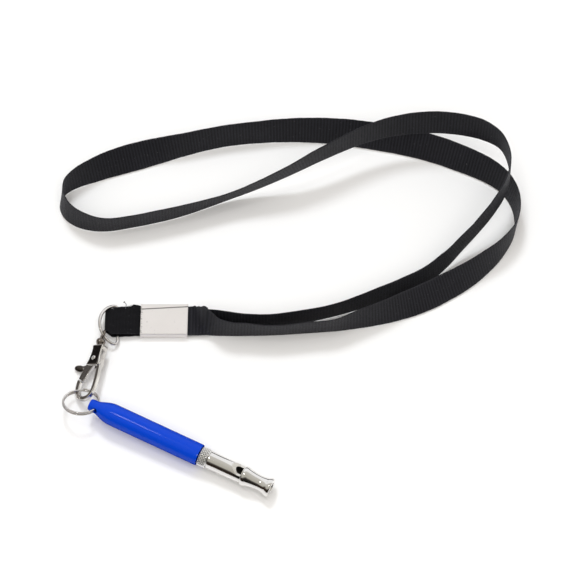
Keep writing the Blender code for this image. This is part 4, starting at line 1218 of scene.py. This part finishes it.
def window_wedge():
    """Cutter for the head's window: a ramp that meets an upright face."""
    side = [(1.9, 64.9), (1.9, 66.5), (6.0, 66.5), (6.0, 60.0), (3.80, 61.2)]
    obj = plate("wedge", [(radius, z - HOLE_Z) for radius, z in side], 5.0)
    obj.data.transform(Matrix.Rotation(FACING, 4, "Z"))
    return obj


def head_tube():
    profile = [
        (TUBE_BORE, TUBE_END), (3.3, TUBE_END), (3.4, TUBE_END - 0.1), (3.4, 66.65),
        (TUBE_R - 0.05, 66.5), (TUBE_R, 62.5), (TUBE_R + 0.05, 57.5), (TUBE_R + 0.1, 53.0),
        (TUBE_R + 0.1, TUBE_SHOULDER + 0.15), (TUBE_R - 0.05, TUBE_SHOULDER),
        (TUBE_REAR_R, TUBE_SHOULDER), (TUBE_REAR_R, TUBE_Z0 + 0.2),
        (TUBE_REAR_R - 0.2, TUBE_Z0), (TUBE_BORE, TUBE_Z0)]
    obj = lathe("tube_turned", eased(profile, 0.08, closed=True), 160, closed=True, z0=HOLE_Z)
    obj = bevelled(cut(obj, window_wedge()), 0.05, segments=2, angle=50.0)
    return place(smooth(obj, 34), WHISTLE_FRAME)


def mouthpiece():
    # outside of the mouthpiece: z, radius
    stations = [(66.8, 3.62), (67.0, 3.82), (67.6, 3.95), (68.3, 3.90), (69.4, 3.55),
                (71.0, 3.2), (73.0, 2.98), (74.6, 2.95), (76.2, 3.25), (77.5, 3.75),
                (78.3, 3.92), (78.75, 3.88), (78.95, 3.78), (79.0, 3.62)]
    profile = [(2.2, MOUTH_Z1 - 0.2), (2.24, MOUTH_Z1 - 0.06), (2.34, MOUTH_Z1)]
    profile += [(radius, z) for z, radius in reversed(spline(stations, 6))]
    profile += [(3.5, MOUTH_Z0), (3.5, 69.0), (2.2, 69.0)]
    obj = lathe("mouth_turned", profile, 160, closed=True, z0=HOLE_Z)
    return place(smooth(obj, 34), WHISTLE_FRAME)


def windway_plug():
    profile = [(0.0, 78.4), (1.9, 78.4), (2.05, 78.25), (2.05, 68.9), (2.42, 68.6),
               (2.42, 66.6), (0.0, 66.6)]
    obj = lathe("plug_turned", eased(profile, 0.06), 96, z0=HOLE_Z)
    flat = box_between("flat", (1.15, -5.0, 60.0 - HOLE_Z), (6.0, 5.0, 85.0 - HOLE_Z))
    flat.data.transform(Matrix.Rotation(FACING, 4, "Z"))
    return place(smooth(cut(obj, flat), 34), WHISTLE_FRAME)


# ------------------------------------------------------------ put it together
def on_cheek(middle):
    """The two flat sides of the clasp's housing."""
    return int(abs(middle.y) > 1.55 and 3.0 < middle.z < 10.9 and -1.6 < middle.x < 2.9)


def tube_slot(middle):
    """1 for the bore's painted shade, 2 for the cut faces round the window, 0 for the
    outside.
    """
    radius = math.hypot(middle.x, middle.y)
    if radius < TUBE_BORE + 0.04:
        return 1
    in_window = abs(middle.z + HOLE_Z - 63.6) < 3.1
    return 2 if in_window and radius < TUBE_R - 0.06 else 0


piece(neck_ribbon(), "neck_ribbon_weave", "lanyard", RIBBON_MAT, "neck_ribbon")
piece(ribbon_tab(), "ribbon_tab_folded", "lanyard", TAB_SHADED_MAT, "ribbon_tab")
piece(loose_thread(), "loose_thread", "lanyard", THREAD_MAT)
piece(tab_fibres(), "tab_fibres", "lanyard", TAB_SHADED_MAT)
piece(crimp(), "crimp_folded", "lanyard", CRIMP_MAT, "crimp_clip")
piece(d_ring(), "d_ring", "dring", WIRE_MAT, "lanyard_ring")
piece(swivel_eye(), "swivel_eye_cast", "eye", EYE_MAT, "swivel_eye")
clasp = piece(clasp_body(), "clasp_cast", "clasp", CAST_MAT, "clasp_body")
# the clasp's cheeks take the painted dark reflection
paint(clasp, CLASP_FRAME, [DARK_REFLECTION_MAT], on_cheek)
trigger = piece(clasp_trigger(), "trigger_cast", "trigger", TRIGGER_MAT,
                "clasp_trigger")
# the trigger's thumb pad takes the painted dark reflection
paint(trigger, TRIGGER_FRAME, [DARK_REFLECTION_MAT], lambda middle: int(middle.x < -5.0))
piece(trigger_pin(), "trigger_rivet", "clasp", PIN_MAT, "trigger_pin")
piece(trigger_spring(), "trigger_coil", "clasp", SPRING_MAT,
      "trigger_spring")
piece(split_ring(), "split_ring_wire", "key_ring", WIRE_MAT, "split_ring")
piece(barrel(), "barrel_lacquered", "whistle_body", BARREL_MAT, "barrel")
piece(lock_nut(), "lock_nut_knurled", "nut", NUT_MAT, "lock_nut")
tube = piece(head_tube(), "head_tube_turned", "head", HEAD_MAT, "head_tube")
# the bore takes painted shade
paint(tube, WHISTLE_FRAME, [BORE_SHADE_MAT, CUT_MAT], tube_slot)
piece(mouthpiece(), "mouthpiece_turned", "head", HEAD_MAT, "mouthpiece")
piece(windway_plug(), "windway_plug_cut", "head", PLUG_MAT, "windway_plug")
for node, material in (("barrel_bush", BRASS_MAT), ("plunger_rod", BRASS_MAT),
                       ("plunger_piston", BRASS_MAT), ("piston_o_ring", RUBBER_MAT)):
    kept = frame["nodes"][node]
    kept.data.materials.clear()
    kept.data.materials.append(material)

# ---------------------------------------------------------------------- table
FLOOR_Z = -0.00012  # metres
FLOOR_HALF = 3


def floor_look():
    look = Look("table")
    cloud = look.noise(scale=6.0, detail=3.0)
    look.put({
        "Base Color": look.blend(cloud, (0.93, 0.93, 0.935), (0.96, 0.96, 0.955)),
        "Roughness": look.span(look.noise(scale=40.0, detail=3.0), over=(0.3, 0.7),
                               to=(0.30, 0.36)),
        "Specular IOR Level": 0.35})
    return look.mat


def table_drops(obj, names):
    """Keeps the table under the lowest hanging piece when a joint swings down;
    with everything at rest it does not move."""
    tree = bpy.data.node_groups.new("table_height", "GeometryNodeTree")
    for direction in ("INPUT", "OUTPUT"):
        tree.interface.new_socket("Geometry", in_out=direction,
                                  socket_type="NodeSocketGeometry")
    nodes = Nodes(tree)
    start = nodes.node("NodeGroupInput")
    end = nodes.node("NodeGroupOutput")
    lowest = None
    for name in names:
        info = nodes.node("GeometryNodeObjectInfo", {"Object": bpy.data.objects[name]},
                          transform_space="RELATIVE")
        box = nodes.node("GeometryNodeBoundBox", {"Geometry": info.outputs["Geometry"]})
        least = nodes.math("MINIMUM", nodes.parts(box.outputs["Min"])[2], 0.0)
        if lowest is not None:
            nodes.feed(least.node.inputs[1], lowest)
        lowest = least
    shift = nodes.node("ShaderNodeCombineXYZ", {2: lowest})
    move = nodes.node("GeometryNodeTransform", {"Geometry": start.outputs[0],
                                                "Translation": shift.outputs[0]})
    nodes.feed(end.inputs[0], move.outputs[0])
    obj.modifiers.new("height", "NODES").node_group = tree


floor = new_object("table", [(-FLOOR_HALF, -FLOOR_HALF, FLOOR_Z),
                             (FLOOR_HALF, -FLOOR_HALF, FLOOR_Z),
                             (FLOOR_HALF, FLOOR_HALF, FLOOR_Z),
                             (-FLOOR_HALF, FLOOR_HALF, FLOOR_Z)], [(0, 1, 2, 3)])
floor.data.materials.append(floor_look())
table_drops(floor, ("d_ring", "swivel_eye_cast", "clasp_cast", "trigger_cast",
                    "split_ring_wire", "barrel_lacquered", "head_tube_turned",
                    "mouthpiece_turned"))

# ---------------------------------------------------------------------- world
scene = bpy.context.scene
# What reflections see, by angle about x in half turns from the near horizon
# over the top: position, colour.
SKY_STOPS = [(0.00, (0.010, 0.009, 0.008)), (0.19, (0.020, 0.018, 0.016)),
             (0.255, (0.12, 0.11, 0.10)), (0.315, (0.50, 0.48, 0.42)),
             (0.64, (0.62, 0.60, 0.55)), (0.72, (1.00, 1.00, 1.00)),
             (1.00, (1.00, 1.00, 1.00))]


def build_world():
    world = bpy.data.worlds.new("studio")
    scene.world = world
    world.use_nodes = True
    world.node_tree.nodes.clear()
    sky = Nodes(world.node_tree)
    incoming = sky.node("ShaderNodeNewGeometry").outputs["Incoming"]
    outgoing = sky.node("ShaderNodeVectorMath", {0: incoming, 1: (-1.0, -1.0, -1.0)},
                        operation="MULTIPLY").outputs[0]
    x, y, z = sky.parts(outgoing)
    angle = sky.math("DIVIDE", sky.math("ARCTAN2", z, sky.times(y, -1.0)), math.pi)
    ramp = sky.node("ShaderNodeValToRGB", {0: angle})
    ramp.color_ramp.interpolation = "EASE"
    while len(ramp.color_ramp.elements) < len(SKY_STOPS):
        ramp.color_ramp.elements.new(0.5)
    for element, (position, colour) in zip(ramp.color_ramp.elements, SKY_STOPS):
        element.position = position
        element.color = (*colour, 1.0)
    # a dark patch low on the left
    side = sky.span(x, over=(-0.30, -0.62))
    low_sky = sky.span(z, over=(0.62, 0.38))
    dark = sky.times(sky.times(side, low_sky), 0.93)
    studio = sky.blend(dark, ramp.outputs[0], (0.030, 0.020, 0.014))
    # reflections see the studio, the camera sees white, the rest an even grey
    path = sky.node("ShaderNodeLightPath").outputs
    shown = sky.blend(path["Is Glossy Ray"], (0.575, 0.55, 0.52), studio)
    shown = sky.blend(path["Is Camera Ray"], shown, (0.95, 0.95, 0.955))
    back = sky.node("ShaderNodeBackground", {"Color": shown, "Strength": 1.0})
    sky.node("ShaderNodeOutputWorld", {"Surface": back.outputs[0]})


build_world()


# ----------------------------------------------------------- lights and camera
def area(name, at, size, power, colour=(1.0, 1.0, 1.0), glossy=False):
    """Disk lamp aimed at the origin; lengths in metres, power in watts."""
    data = bpy.data.lights.new(name, "AREA")
    data.shape = "DISK"
    data.size = size
    data.energy = power
    data.color = colour
    lamp = linked(name, data)
    lamp.location = at
    lamp.rotation_mode = "QUATERNION"
    lamp.rotation_quaternion = (Vector((0.0, 0.0, 0.0)) - Vector(at)).to_track_quat("-Z", "Y")
    lamp.visible_glossy = glossy
    lamp.visible_camera = False


area("key", at=(-0.12, 0.48, 0.90), size=0.24, power=3.5, colour=(0.90, 0.95, 1.0))
area("fill", at=(0.06, -0.46, 0.95), size=0.85, power=3.2, colour=(1.0, 0.99, 0.97))
area("top", at=(0.05, 0.15, 1.20), size=0.80, power=1.4)
area("glint", at=(-0.241, -0.003, 0.943), size=0.10, power=0.42, glossy=True)

CAMERA_TARGET, CAMERA_DISTANCE = (-0.0006, 0.0094, 0.0), 0.80  # metres
CAMERA_ELEVATION = math.radians(62.0)
cam = linked("camera", bpy.data.cameras.new("camera"))
behind = Vector((0.0, -math.cos(CAMERA_ELEVATION), math.sin(CAMERA_ELEVATION)))
cam.location = Vector(CAMERA_TARGET) + behind * CAMERA_DISTANCE
cam.rotation_mode = "QUATERNION"
cam.rotation_quaternion = (-behind).to_track_quat("-Z", "Y")
cam.data.sensor_width = 36.0
cam.data.lens = 122.5
cam.data.clip_start = 0.01
cam.data.clip_end = 20.0
scene.camera = cam
scene.view_settings.view_transform = "Standard"
scene.view_settings.look = "None"
scene.view_settings.exposure = 0.0
scene.view_settings.gamma = 1.0
